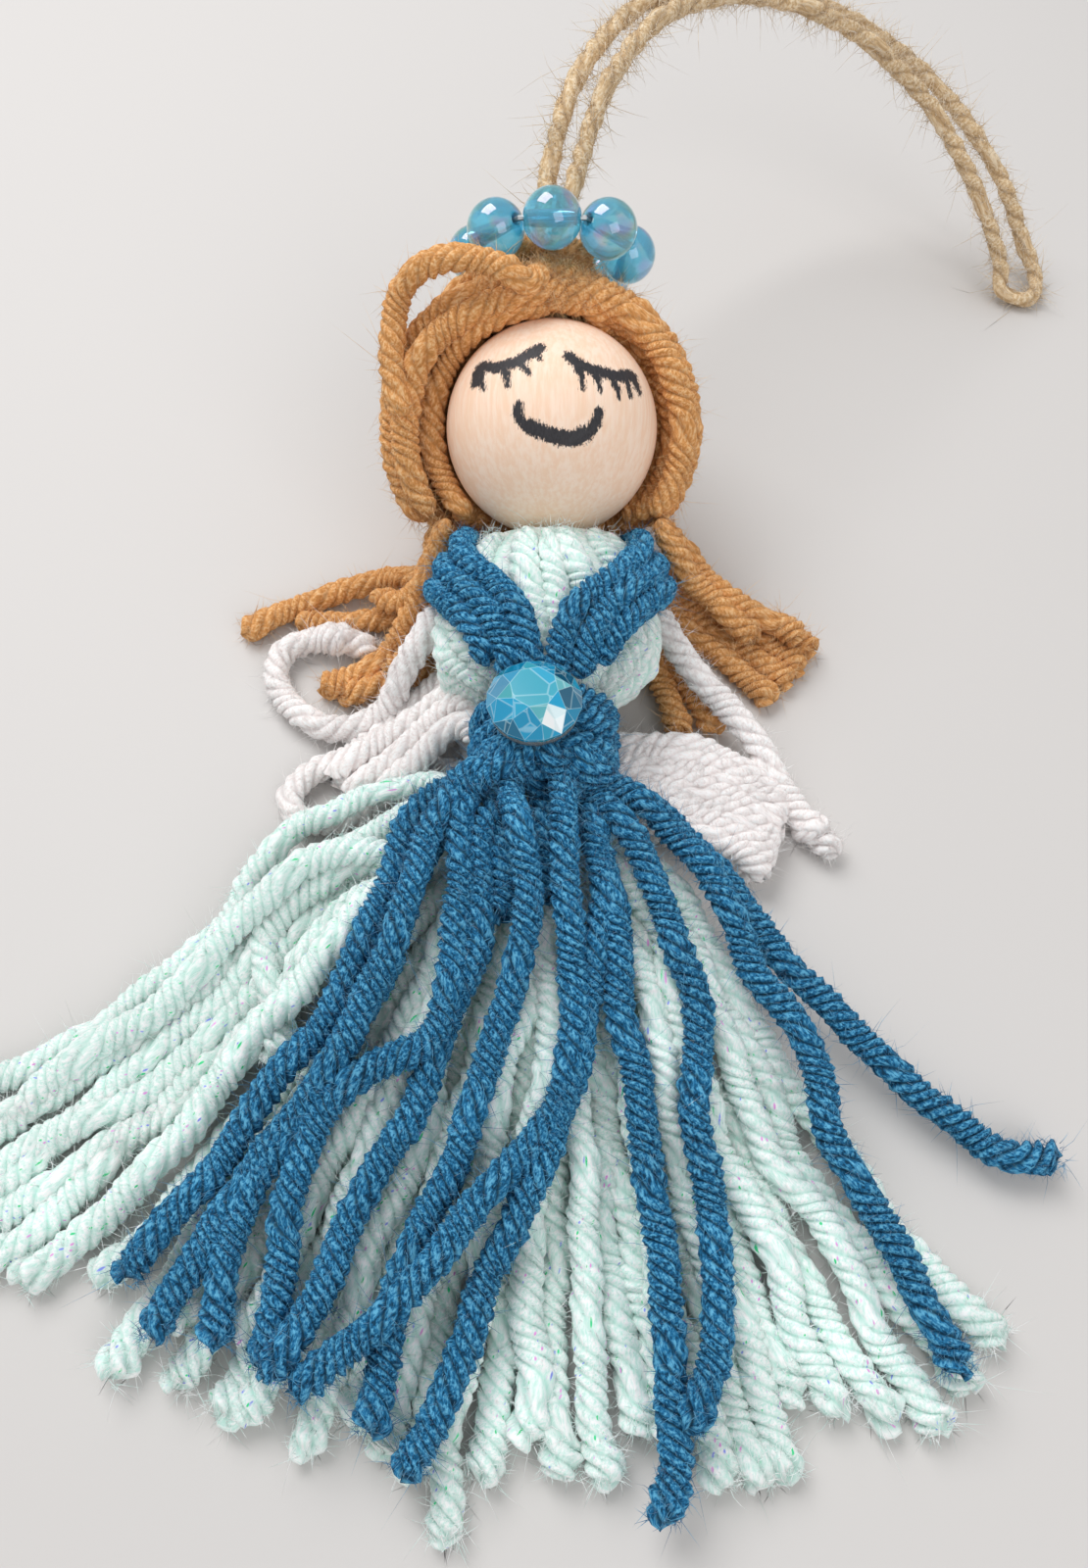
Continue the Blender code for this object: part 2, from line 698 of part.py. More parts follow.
HANGER_ROUTE = (
    (0.0030, 0.0790, 0.0450),
    (0.0075, 0.0925, 0.0500),
    (0.0175, 0.1080, 0.0515),
    (0.0340, 0.1215, 0.0470),
    (0.0520, 0.1275, 0.0385),
    (0.0680, 0.1260, 0.0280),
    (0.0800, 0.1185, 0.0165),
    (0.0870, 0.1100, 0.0070),
)
HANGER_HALF_WIDTHS = (0.0021, 0.0024, 0.0022, 0.0019, 0.0021, 0.0034, 0.0042, 0.0040)
HANGER_BIGHT = (
    (0.0925, 0.1080, 0.0024),
    (0.0905, 0.1030, 0.0016),
    (0.0855, 0.1045, 0.0024),
)
TWINE_STEP_SHARE = 2.3
TWIN_OFFSET_SHARE = 0.48


def make_neck_cord():
    """The doubled twine inside the head, from the torso up to the tuft."""
    strands = []
    for k, side in enumerate((-1, 1)):
        shift = ACROSS * (side * TWINE_DIAMETER * TWIN_OFFSET_SHARE)
        foot = HEAD_CENTRE - BORE_AXIS * HEAD_RADIUS + shift
        top = HEAD_CENTRE + BORE_AXIS * (CORD_TOP - GAP) + shift
        line = [foot, (foot + top) / 2, top]
        strands.append(tube(f"strand_{k}", line, TWINE_DIAMETER, resolution=2))
    place(fused("neck_cord", strands), TWINE)


make_neck_cord()


def make_hanger():
    """The hanging loop: one twine out of the tuft, round the bight on the table, and back."""
    mouth = HEAD_CENTRE + BORE_AXIS * CORD_TOP
    apart = ACROSS * (TWINE_DIAMETER / 2 + GAP)
    out = [mouth - apart, mouth - apart + BORE_AXIS * TWINE_DIAMETER]
    back = [mouth + apart, mouth + apart + BORE_AXIS * TWINE_DIAMETER]
    for k, (point, half_width) in enumerate(zip(HANGER_ROUTE, HANGER_HALF_WIDTHS)):
        before = Vector(HANGER_ROUTE[max(k - 1, 0)])
        after = Vector(HANGER_ROUTE[min(k + 1, len(HANGER_ROUTE) - 1)])
        heading = after - before
        sideways = Vector((heading.y, -heading.x, 0)).normalized() * half_width
        out.append(Vector(point) - sideways)
        back.append(Vector(point) + sideways)
    route = [*out, *(Vector(p) for p in HANGER_BIGHT), *reversed(back)]
    points = smooth_route(route, TWINE_STEP_SHARE * TWINE_DIAMETER)
    place(tube("hanger", points, TWINE_DIAMETER, resolution=2), TWINE)


make_hanger()

# Bow behind the waist

WING_ANGLES = {"wing_right": (-3, -20, -37, -12), "wing_left": (181, 153)}
WING_LAYERS = {"wing_right": (1, 1, 1, 2), "wing_left": (1, 1)}
WING_REACH_SHARES = {"wing_right": (1.00, 0.95, 0.88, 0.88), "wing_left": (1.15, 0.62)}
WING_SPREAD_SHARES = {"wing_right": (0.078, 0.078, 0.076, 0.078), "wing_left": (0.125, 0.076)}
WING_RUN_SHARE = (0.0, 0.06, 0.2, 0.4, 0.6, 0.8, 0.9)
WING_SWELL_SHARE = (0.0, 0.0, 0.05, 0.40, 0.80, 1.0, 1.0)
WING_TURN_SHARE = 0.3
WING_ROOT_HALF_SHARE = 0.55
WING_CLIMB_SHARE = 0.4
WING_RISE_SHARE = 0.5
WING_STANDOFF_SHARE = 0.28
WING_STEP_SHARE = 0.9


def make_bow_knot():
    """The bow's flat knot under the waist, the doll's lowest piece."""
    form = bmesh.new()
    bmesh.ops.create_cube(form, size=1)
    bmesh.ops.scale(form, vec=(KNOT_LENGTH, KNOT_WIDTH, KNOT_THICKNESS), verts=form.verts)
    mesh = bpy.data.meshes.new("bow_knot")
    form.to_mesh(mesh)
    form.free()
    knot = bpy.data.objects.new("bow_knot", mesh)
    knot.location = (0, 0, KNOT_THICKNESS / 2)
    bevel = knot.modifiers.new("soft edge", "BEVEL")
    bevel.width = KNOT_EDGE
    bevel.segments = 2
    place(knot, WHITE)


make_bow_knot()


def wing_loop(name, degrees, reach_share, spread_share, layer, stagger):
    """One flat loop of the bow: out along one side, round the bight and back."""
    direction = Vector((math.cos(math.radians(degrees)), math.sin(math.radians(degrees)), 0))
    standoff = KNOT_LENGTH / 2 + GAP + WING_YARN_DIAMETER * WING_STANDOFF_SHARE + stagger
    root = math.copysign(standoff, direction.x)
    start = Vector((root, 0, WING_YARN_DIAMETER / 2 + TABLE_GAP + stagger))
    run = WING_REACH * reach_share - abs(root)
    narrow = WING_YARN_DIAMETER * WING_ROOT_HALF_SHARE
    wide = max(WING_REACH * spread_share, narrow)
    runs = []
    for side in (1, -1):
        leg = []
        for along, swell in zip(WING_RUN_SHARE, WING_SWELL_SHARE):
            risen = WING_CLIMB_SHARE + (1 - WING_CLIMB_SHARE) * eased(along / WING_RISE_SHARE)
            climb = (layer - 1) * WING_YARN_DIAMETER * risen
            turned_out = eased(along / WING_TURN_SHARE)
            onward = Vector((direction.x, direction.y * turned_out, 0)) * (run * along)
            sideways = Vector((-direction.y * turned_out, direction.x, 0)).normalized()
            point = start + onward + sideways * (side * (narrow + (wide - narrow) * swell))
            leg.append(point + Vector((0, 0, climb)))
        runs.append(leg)
    bight = start + direction * run + Vector((0, 0, (layer - 1) * WING_YARN_DIAMETER))
    route = [*runs[0], bight, *reversed(runs[1])]
    return tube(name, smooth_route(route, WING_YARN_DIAMETER * WING_STEP_SHARE), WING_YARN_DIAMETER)


def make_wings():
    """Each wing is its loops, gathered into one body beside the knot."""
    for name, angles in WING_ANGLES.items():
        tubes = []
        loops = zip(angles, WING_REACH_SHARES[name], WING_SPREAD_SHARES[name], WING_LAYERS[name])
        for k, (degrees, reach, spread, layer) in enumerate(loops):
            stagger = k * ROOT_STAGGER / 2
            tubes.append(wing_loop(f"{name}_{k}", degrees, reach, spread, layer, stagger))
        place(fused(name, tubes), WHITE)


make_wings()

# Arms

ARM_STATION_SHARE = {"arm_right": 0.44, "arm_left": 0.46}
ARM_ROOT_ANGLES = {"arm_right": -13, "arm_left": 188}
ARM_ROUTE_SHARE = {
    # across and along as shares of the arm's length, height as a share of its root's height
    "arm_right": ((0.0, 0.0, 1.0), (0.10, -0.14, 0.76), (0.25, -0.33, 0.53), (0.38, -0.55, 0.27),
                  (0.50, -0.71, 0.0), (0.56, -0.79, 0.0)),
    "arm_left": ((0.0, 0.0, 1.0), (-0.07, -0.10, 0.67), (-0.17, -0.23, 0.17), (-0.34, -0.29, 0.0),
                 (-0.50, -0.22, 0.0), (-0.585, -0.09, 0.0), (-0.55, 0.04, 0.0), (-0.42, 0.095, 0.0),
                 (-0.28, 0.075, 0.0), (-0.22, 0.045, 0.0)),
}
ARM_SWELL_SHARE = {
    0.0: 0.9, 0.08: 1.0, 0.80: 0.96, 0.86: 0.88, 0.90: 1.22, 0.95: 1.15, 0.98: 0.72, 1.0: 0.66,
}
ARM_STEP_SHARE = 0.55


def laid_route(root, length, floor, route_share):
    """Points from a root down toward the table, from shares of a length and of the root's height."""
    points = []
    for across, along, height in route_share:
        level = floor + (root.z - floor) * height
        points.append(Vector((root.x + length * across, root.y + length * along, level)))
    return points


def make_arm(name):
    """A soft arm from the torso's side down to the table, knotted near its end."""
    angle = math.radians(ARM_ROOT_ANGLES[name])
    root = chest_point(ARM_STATION_SHARE[name], angle, GAP + ARM_YARN_DIAMETER / 2)
    rest = TABLE_GAP + ARM_YARN_DIAMETER / 2
    route = laid_route(root, ARM_LENGTH, rest, ARM_ROUTE_SHARE[name])
    points = smooth_route(route, ARM_YARN_DIAMETER * ARM_STEP_SHARE)
    along = np.linspace(0, 1, len(points))
    swell = np.interp(along, list(ARM_SWELL_SHARE), list(ARM_SWELL_SHARE.values()))
    floor = TABLE_GAP + ARM_YARN_DIAMETER / 2 * swell
    points[:, 2] = np.maximum(points[:, 2], floor)
    pivot = empty(f"{name}_pivot", root)
    place(tube(name, points, ARM_YARN_DIAMETER, swell), WHITE, pivot)


for name in ARM_ROUTE_SHARE:
    make_arm(name)

# Hair tails

TAIL_START_ANGLES = {
    "hair_tail_left_1": (-50,),
    "hair_tail_left_2": (-38,),
    "hair_tail_left_3": (-24,),
    "hair_tail_left_4": (-9,),
    "hair_tail_right_fan": (48, 46, 40, 37),
    "hair_tail_right_low": (20, 17),
}
TAIL_START_SHARES = {
    "hair_tail_left_1": (0.80,),
    "hair_tail_left_2": (0.78,),
    "hair_tail_left_3": (0.78,),
    "hair_tail_left_4": (0.78,),
    "hair_tail_right_fan": (0.80, 0.80, 0.78, 0.78),
    "hair_tail_right_low": (0.78, 0.78),
}
TAIL_ROUTE_SHARES = {
    # across and along as shares of the tail's length, height as a share of its root's height
    "hair_tail_left_1": (((-0.16, -0.05, 0.66), (-0.45, -0.06, 0.05), (-0.84, -0.24, 0.0)),),
    "hair_tail_left_2": (((-0.17, -0.19, 0.0), (-0.42, -0.235, 0.0), (-0.70, -0.25, 0.0)),),
    "hair_tail_left_3": (((-0.10, -0.24, 1.0), (-0.25, -0.42, 1.76), (-0.42, -0.57, 1.76)),),
    "hair_tail_left_4": (((-0.14, -0.28, 0.18), (-0.36, -0.50, 0.18), (-0.72, -0.60, 0.18)),),
    "hair_tail_right_fan": (
        ((0.18, -0.08, 0.49), (0.40, -0.18, 0.0), (0.66, -0.35, 0.0)),
        ((0.17, -0.12, 0.38), (0.37, -0.25, 0.0), (0.62, -0.44, 0.0)),
        ((0.18, -0.15, 0.35), (0.39, -0.31, 0.0), (0.60, -0.52, 0.0)),
        ((0.18, -0.18, 0.37), (0.37, -0.38, 0.0), (0.55, -0.60, 0.0)),
    ),
    "hair_tail_right_low": (
        ((0.18, -0.28, 0.53), (0.32, -0.52, 0.53), (0.44, -0.78, 0.53)),
        ((0.16, -0.30, 0.72), (0.26, -0.55, 0.72), (0.35, -0.80, 0.72)),
    ),
}
TAIL_STEP_SHARE = 1.2


def tail_tube(name, start_angle, start_share, route_share):
    """One strand from just under the hair's hem out over the table."""
    angle = math.radians(start_angle)
    back = ACROSS * math.sin(angle) - FACE_AXIS * math.cos(angle)
    hem = HEAD_CENTRE - BORE_AXIS * (HAIR_HEM_DROP + GAP)
    root = hem + back * HAIR_OUTER_RADIUS * start_share
    lead = root - BORE_AXIS * HAIR_YARN_DIAMETER
    rest = HAIR_YARN_DIAMETER / 2 + TABLE_GAP
    route = [root, lead, *laid_route(lead, TAIL_LENGTH, rest, route_share)]
    points = smooth_route(route, HAIR_YARN_DIAMETER * TAIL_STEP_SHARE)
    points[:, 2] = np.maximum(points[:, 2], rest)
    return tube(name, points, HAIR_YARN_DIAMETER)


def make_tails():
    """Loose hair below the nape, single strands on the left and gathered bundles on the right."""
    for name, angles in TAIL_START_ANGLES.items():
        strands = zip(angles, TAIL_START_SHARES[name], TAIL_ROUTE_SHARES[name])
        tubes = [
            tail_tube(f"{name}_{k}", angle, share, route)
            for k, (angle, share, route) in enumerate(strands)
        ]
        piece = tubes[0] if len(tubes) == 1 else fused(name, tubes)
        piece.name = name
        place(piece, HAIR)


make_tails()

# Skirt

LOCK_ROWS = (1, 2, 0, 1, 2, 0, 2, 1, 0, 2, 1)
LOCK_COLUMN_SHARE = (-0.78, -0.64, -0.45, -0.23, -0.21, 0.0, 0.21, 0.23, 0.45, 0.64, 0.74)
LOCK_ROW_SHARE = (-0.90, -0.535, -0.17)
LOCK_ANGLES = (-62, -51, -40.5, -31.3, -22.3, -13.3, -4.2, 5.4, 15.6, 25.9, 35.2)
LOCK_BOWS = (-50, -19, -12, -8, -5, -3, -1, 1, 3, 4, 6)
LOCK_REACH_SHARE = (
    (1.10, 1.08, 1.05), (1.05, 1.00, 1.07), (0.94, 0.88, 0.99), (0.86, 0.95, 0.89),
    (0.96, 0.94, 0.90), (0.95, 0.88, 0.89), (1.01, 0.92, 0.94), (0.86, 0.95, 0.88),
    (0.89, 0.99, 1.00), (0.85, 0.88, 1.00), (1.05, 1.02, 1.02),
)
STRANDS_A_LOCK = 3
STRAND_STATION_SHARE = (0.0, 0.02, 0.13, 0.27, 0.42, 0.58, 0.74, 0.88, 1.0)
FAN_OPENS_SHARE = 0.1
BOW_OPENS_SHARE = 0.3
COLUMN_FADES_SHARE = 0.7
LIFT_FULL_SHARE = 0.4
STRAND_ROOT_SHARE = 0.5
STRAND_FULL_SHARE = 0.55
STRAND_TIP_SHARE = 0.8
SETTLE_SHARE = 0.625
LIE_SHARE = (0.70, 0.92)


def strand_swell(s):
    """A strand's thickness share: pinched at the waist, full by mid length, blunt at the tip."""
    grown = STRAND_ROOT_SHARE + (1 - STRAND_ROOT_SHARE) * eased(s / STRAND_FULL_SHARE)
    return grown if s < 1 else grown * STRAND_TIP_SHARE


def fan_point(angle, bow, s, length):
    """A place in the fan: leaves the waist straight, bows out, ends at the angle (0 at the feet)."""
    bowed = bow * (1 - s) ** 2 * eased(s / BOW_OPENS_SHARE)
    turn = math.radians(angle * eased(s / FAN_OPENS_SHARE) + bowed)
    return Vector((s * length * math.sin(turn), SKIRT_TOP - s * length * math.cos(turn), 0))


def mint_strand(name, lock, k):
    """One of the three strands of a lock: gathered at the waist, side by side at the hem."""
    side = k - (STRANDS_A_LOCK - 1) / 2
    pattern = -1 if LOCK_ROWS[lock] == 2 else 1
    root_x = SKIRT_ROOT_RADIUS * LOCK_COLUMN_SHARE[lock]
    root_z = WAIST_HEIGHT + SKIRT_ROOT_RADIUS * LOCK_ROW_SHARE[LOCK_ROWS[lock]]
    length = SKIRT_LENGTH * LOCK_REACH_SHARE[lock][k]
    points = []
    swell = []
    for s in STRAND_STATION_SHARE:
        far = s * length / SKIRT_LENGTH
        middle = fan_point(LOCK_ANGLES[lock], LOCK_BOWS[lock], s, length)
        spread = LOCK_ROOT_SPREAD + (LOCK_SPREAD - LOCK_ROOT_SPREAD) * far**2
        turn = math.radians(LOCK_ANGLES[lock]) * eased(s / FAN_OPENS_SHARE)
        sideways = Vector((math.cos(turn), math.sin(turn), 0)) * (side * spread)
        lift = LOCK_ROOT_LIFT + (LOCK_LIFT - LOCK_ROOT_LIFT) * eased(far / LIFT_FULL_SHARE)
        floor = MINT_YARN_DIAMETER / 2 + TABLE_GAP
        settled = min(far / SETTLE_SHARE, 1.0) ** 2
        centre_z = root_z + (floor + lift / 2 - root_z) * settled
        raised = pattern * (lift / 2 if side == 0 else -lift / 2)
        lying = passed(far, LIE_SHARE)
        height = (centre_z + raised) * (1 - lying) + floor * lying
        point = middle + sideways
        point.x += root_x * (1 - eased(s / COLUMN_FADES_SHARE))
        point.y -= ROOT_STAGGER * k * (1 - s)
        point.z = height
        points.append(point)
        swell.append(strand_swell(s))
    return tube(name, points, MINT_YARN_DIAMETER, swell)


def make_locks():
    """Locks of pale yarn, three strands each, in three rows at the waist."""
    for lock in range(len(LOCK_ROWS)):
        name = f"skirt_lock_{lock + 1:02d}"
        strands = [mint_strand(f"{name}_{k}", lock, k) for k in range(STRANDS_A_LOCK)]
        place(fused(name, strands), MINT)


make_locks()

BLUE_ANGLES = (-40, -35, -31, -26.5, -22.5, -18.5, -14, -9.5, 7.5, 12, 34, 55)
BLUE_BOWS = (-14, -12, -12, -9, -8, -6, -5, -4, 6, 8, 6, -14)
BLUE_ROWS = (0, 1, 0, 1, 0, 1, 0, 1, 0, 1, 0, 0)
BLUE_REACH_SHARES = (0.89, 0.93, 0.88, 0.89, 0.89, 0.88, 0.91, 0.95, 1.00, 0.92, 0.99, 0.94)
BLUE_COLUMN_SHARES = (-0.78, -0.52, -0.46, -0.26, -0.21, 0.0, 0.0, 0.26, 0.24, 0.52, 0.48, 0.74)
BLUE_TIP_HEIGHT_SHARES = (1.0, 1.0, 1.0, 1.0, 1.0, 1.0, 1.0, 1.0, 0.7, 1.0, 1.0, 0.0)
BLUE_ROW_SHARE = 0.43
BLUE_TOP_SHARE = (
    (0.0, 1.0), (0.25, 0.86), (0.375, 0.70), (0.5, 0.54), (0.625, 0.38), (0.8, 0.26), (0.95, 0.0),
)
UPPER_ROW_FADES_SHARE = (0.6, 0.9)
TIP_DROPS_SHARE = (0.5, 0.9)


def blue_strand(name, angle, bow, row, reach_share, column, tip_share):
    """One blue strand over the pale locks, dropping with them toward the hem."""
    length = SKIRT_LENGTH * reach_share
    root_z = WAIST_HEIGHT + SKIRT_ROOT_RADIUS * BLUE_ROW_SHARE
    bed = MINT_YARN_DIAMETER + TABLE_GAP + GAP + BLUE_YARN_DIAMETER / 2
    floor = TABLE_GAP + BLUE_YARN_DIAMETER / 2
    points = []
    swell = []
    for s in STRAND_STATION_SHARE:
        far = s * length / SKIRT_LENGTH
        point = fan_point(angle, bow, s, length)
        point.x += SKIRT_ROOT_RADIUS * column * (1 - eased(s / COLUMN_FADES_SHARE))
        drop = np.interp(far, *zip(*BLUE_TOP_SHARE))
        upper = row * BLUE_ROW_RISE * (1 - passed(far, UPPER_ROW_FADES_SHARE))
        height = bed + (root_z - bed) * drop + upper
        off_bed = passed(s, TIP_DROPS_SHARE) * (1 - tip_share)
        point.z = height + (floor - height) * off_bed
        points.append(point)
        swell.append(strand_swell(s))
    return tube(name, points, BLUE_YARN_DIAMETER, swell)


def make_blue_strands():
    """The blue strands lie singly on top of the skirt."""
    strands = zip(
        BLUE_ANGLES, BLUE_BOWS, BLUE_ROWS,
        BLUE_REACH_SHARES, BLUE_COLUMN_SHARES, BLUE_TIP_HEIGHT_SHARES,
    )
    for k, strand in enumerate(strands):
        name = f"blue_strand_{k + 1:02d}"
        place(blue_strand(name, *strand), BLUE)


make_blue_strands()
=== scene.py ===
import math

import bpy
import numpy as np
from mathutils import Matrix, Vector


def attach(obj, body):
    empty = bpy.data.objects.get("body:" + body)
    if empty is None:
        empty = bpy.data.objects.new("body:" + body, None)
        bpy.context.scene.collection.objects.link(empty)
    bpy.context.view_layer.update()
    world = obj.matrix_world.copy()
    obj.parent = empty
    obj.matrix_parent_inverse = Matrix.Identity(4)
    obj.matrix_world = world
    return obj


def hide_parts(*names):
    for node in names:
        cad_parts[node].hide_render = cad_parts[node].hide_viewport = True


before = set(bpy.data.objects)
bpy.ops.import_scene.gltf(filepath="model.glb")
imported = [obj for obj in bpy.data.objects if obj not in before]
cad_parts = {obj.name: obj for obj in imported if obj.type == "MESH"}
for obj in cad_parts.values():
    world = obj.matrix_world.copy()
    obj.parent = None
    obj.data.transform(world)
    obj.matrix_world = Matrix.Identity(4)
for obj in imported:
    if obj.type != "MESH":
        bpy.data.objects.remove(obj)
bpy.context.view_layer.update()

# ---------------------------------------------------------------- Viewpoint
# The doll lies on its back on a table and is seen from above its feet, through a wide lens.
# Every place in this file is in metres, in the CAD frame: +Y toward the head, +Z up.

view_data = bpy.data.cameras.new("viewpoint")
view_data.lens = 27
view_data.sensor_width = 36
view_data.sensor_fit = "AUTO"
view_data.clip_start = 0.005
view_data.clip_end = 50
viewpoint = bpy.data.objects.new("viewpoint", view_data)
viewpoint.location = (0.0, -0.0815, 0.146)
viewpoint.rotation_euler = (math.radians(30), 0, 0)
bpy.context.scene.collection.objects.link(viewpoint)
bpy.context.scene.camera = viewpoint

# ---------------------------------------------------------------- Hanging loop
# Natural jute twine of two plies, loosely twisted and hairy. It leaves the top of the head,
# stands up in a stiff arch, turns round its bight on the table and comes back beside itself.

TWINE_DIAMETER = 0.0028
GAP = 0.0003
TABLE = 0.0001
ACROSS = np.array([1.0, 0.0, 0.0])
UP = np.array([0.0, 0.0, 1.0])
HEAD_LEAN = math.radians(30)
BORE_AXIS = np.array([0, math.cos(HEAD_LEAN), math.sin(HEAD_LEAN)])
FACE_AXIS = np.array([0, -math.sin(HEAD_LEAN), math.cos(HEAD_LEAN)])
NECK = np.array([0.0011, 0.03335, 0.01785])
HEAD_RADIUS = 0.015
HEAD_CENTRE = NECK + BORE_AXIS * (HEAD_RADIUS + GAP)
HAIR_THICKNESS = 0.0070
HAIR_INNER_RADIUS = HEAD_RADIUS + GAP
HAIR_OUTER_RADIUS = HAIR_INNER_RADIUS + HAIR_THICKNESS
TUFT_HEIGHT = 0.0036
TUFT_FOOT = HAIR_OUTER_RADIUS + GAP
CORD_TOP = TUFT_FOOT + TUFT_HEIGHT
FULL_TURN = 2 * math.pi
EVEN = ((0, 1), (1, 1))
RING_STEP = 0.00045
FRAYED_LENGTH = 0.0045
TWINE_SPIN = {"plies": 2, "pitch": 0.0105, "groove": 0.30}


def unit(vectors):
    """Each vector divided by its own length."""
    return vectors / np.linalg.norm(vectors, axis=-1, keepdims=True)


def eased(value):
    """0 to 1 with a soft start and a soft end: x squared times (3 - 2x)."""
    held = np.clip(value, 0.0, 1.0)
    return held * held * (3 - 2 * held)


def line_length(points):
    """Distance along a polyline at each of its points."""
    legs = np.linalg.norm(np.diff(points, axis=0), axis=1)
    return np.concatenate([[0.0], np.cumsum(legs)])


def taken_at(points, gone, wanted):
    """Values of a table of points, read at wanted distances along it."""
    return np.stack([np.interp(wanted, gone, points[:, k]) for k in range(points.shape[1])], 1)


def smooth_line(points, step=0.0004):
    """A Catmull-Rom curve through the points, in equal steps along it."""
    knots = np.asarray(points, float)
    padded = np.vstack([2 * knots[0] - knots[1], knots, 2 * knots[-1] - knots[-2]])
    u = np.linspace(0, 1, 24, endpoint=False)[None, :, None]
    a, b, c, d = (padded[k:len(padded) - 3 + k, None] for k in range(4))
    curve = (
        b + 0.5 * u * (c - a) + u**2 * (a - 2.5 * b + 2 * c - 0.5 * d)
        + u**3 * 0.5 * (3 * b - 3 * c + d - a)
    )
    fine = np.vstack([curve.reshape(-1, 3), knots[-1:]])
    gone = line_length(fine)
    return taken_at(fine, gone, np.linspace(0, gone[-1], max(9, int(gone[-1] / step))))


def carried_frame(line, facing):
    """Along, outward and sideways directions at each point of a line.

    Outward is the facing direction with its part along the line taken away."""
    along = unit(np.gradient(line, axis=0))
    facing = np.broadcast_to(facing, line.shape)
    outward = unit(facing - (facing * along).sum(1, keepdims=True) * along)
    return along, outward, np.cross(along, outward)


def ring_faces(rows, columns):
    """Quads of a closed tube of rings, with a strip of quads across each end."""
    grid = np.arange(rows * columns).reshape(rows, columns)
    after = np.roll(grid, -1, axis=1)
    sides = np.stack([grid[:-1], after[:-1], after[1:], grid[1:]], -1).reshape(-1, 4)
    near = np.arange(columns // 2 - 1)
    lid = np.stack([near, near + 1, columns - 2 - near, columns - 1 - near], -1)
    return np.vstack([sides, lid[:, ::-1], lid + grid[-1, 0]])


def yarn_form(line, diameter, facing, plies=4, pitch=0.0072, groove=0.25, swell=EVEN, tip=1.0,
              open_tip=0.0, phase=0.0, points_a_ply=5, rough=0.016):
    """A plied strand carried along a line.

    A ring's radius is the half diameter, less the groove share between plies; the plies are
    sine lobes that turn S-wise once in a pitch, tighter and looser by turns, and each ply is
    thicker and thinner along itself (a sum of sines). Both ends close as domes. Toward its last
    end the strand swells to the tip share and its plies part and end at unlike lengths."""
    line = np.asarray(line, float)
    gone = line_length(line)
    total = gone[-1]
    half = diameter / 2
    dome = half * 0.9
    bend = np.linspace(0.10, math.pi / 2, 5)
    body = np.linspace(dome, total - dome, max(4, int((total - 2 * dome) / RING_STEP)))
    cap = dome * (1 - np.cos(bend))
    s = np.concatenate([cap[:-1], body, total - cap[-2::-1]])
    closing = np.concatenate([np.sin(bend)[:-1], np.ones(len(body)), np.sin(bend)[-2::-1]])
    centre = taken_at(line, gone, s)
    facings = taken_at(np.broadcast_to(facing, line.shape), gone, s)
    along, outward, sideways = carried_frame(centre, facings)
    columns = plies * points_a_ply
    place = np.arange(columns) * plies / columns
    ply = np.floor(place)
    lobe = np.sin(math.pi * (place % 1.0)) ** 0.75
    opening = eased((s - total + FRAYED_LENGTH) / FRAYED_LENGTH)
    depth = groove * (1 + 0.9 * opening * open_tip)
    thick = half * closing * (1 + (tip - 1) * opening) * np.interp(s / total, *zip(*swell))
    uneven = sum(
        weight * np.sin(FULL_TURN * s[:, None] / wave + 2.4 * ply + 5.1 * phase + 11 * wave)
        for wave, weight in ((0.0061, 0.05), (0.0034, 0.045), (0.0019, 0.03)))
    chance = np.random.default_rng(int(abs(phase) * 97) + len(s))
    grain = chance.normal(0, rough, (len(s), columns))
    radius = thick[:, None] * (1 - depth[:, None] * (1 - lobe)) * (1 + uneven * lobe + grain)
    slack = 0.13 * pitch * (
        np.sin(FULL_TURN * s / 0.017 + phase * 3) + 0.5 * np.sin(FULL_TURN * s / 0.0083 + phase))
    turn = phase - FULL_TURN * (s + slack) / pitch
    angle = (turn[:, None] + FULL_TURN * place / plies)[..., None]
    longer = np.sin(ply * 2.4 + phase * 7) * lobe * open_tip * 0.0008
    pushed = along[:, None] * (opening**2)[:, None, None] * longer[None, :, None]
    spokes = outward[:, None] * np.cos(angle) + sideways[:, None] * np.sin(angle)
    points = centre[:, None] + spokes * radius[..., None] + pushed
    points[..., 2] = np.maximum(points[..., 2], TABLE / 2)
    faces = ring_faces(len(s), columns)
    place_u = np.broadcast_to(place, (len(s), columns)).reshape(-1)
    place_v = np.repeat((s + slack) * 1000, columns)
    uv = np.stack([place_u[faces], place_v[faces]], -1)
    wrapped = uv[..., 0].max(1) - uv[..., 0].min(1) > plies / 2
    uv[wrapped, :, 0] += np.where(uv[wrapped, :, 0] < plies / 2, plies, 0)
    return points.reshape(-1, 3), faces, uv


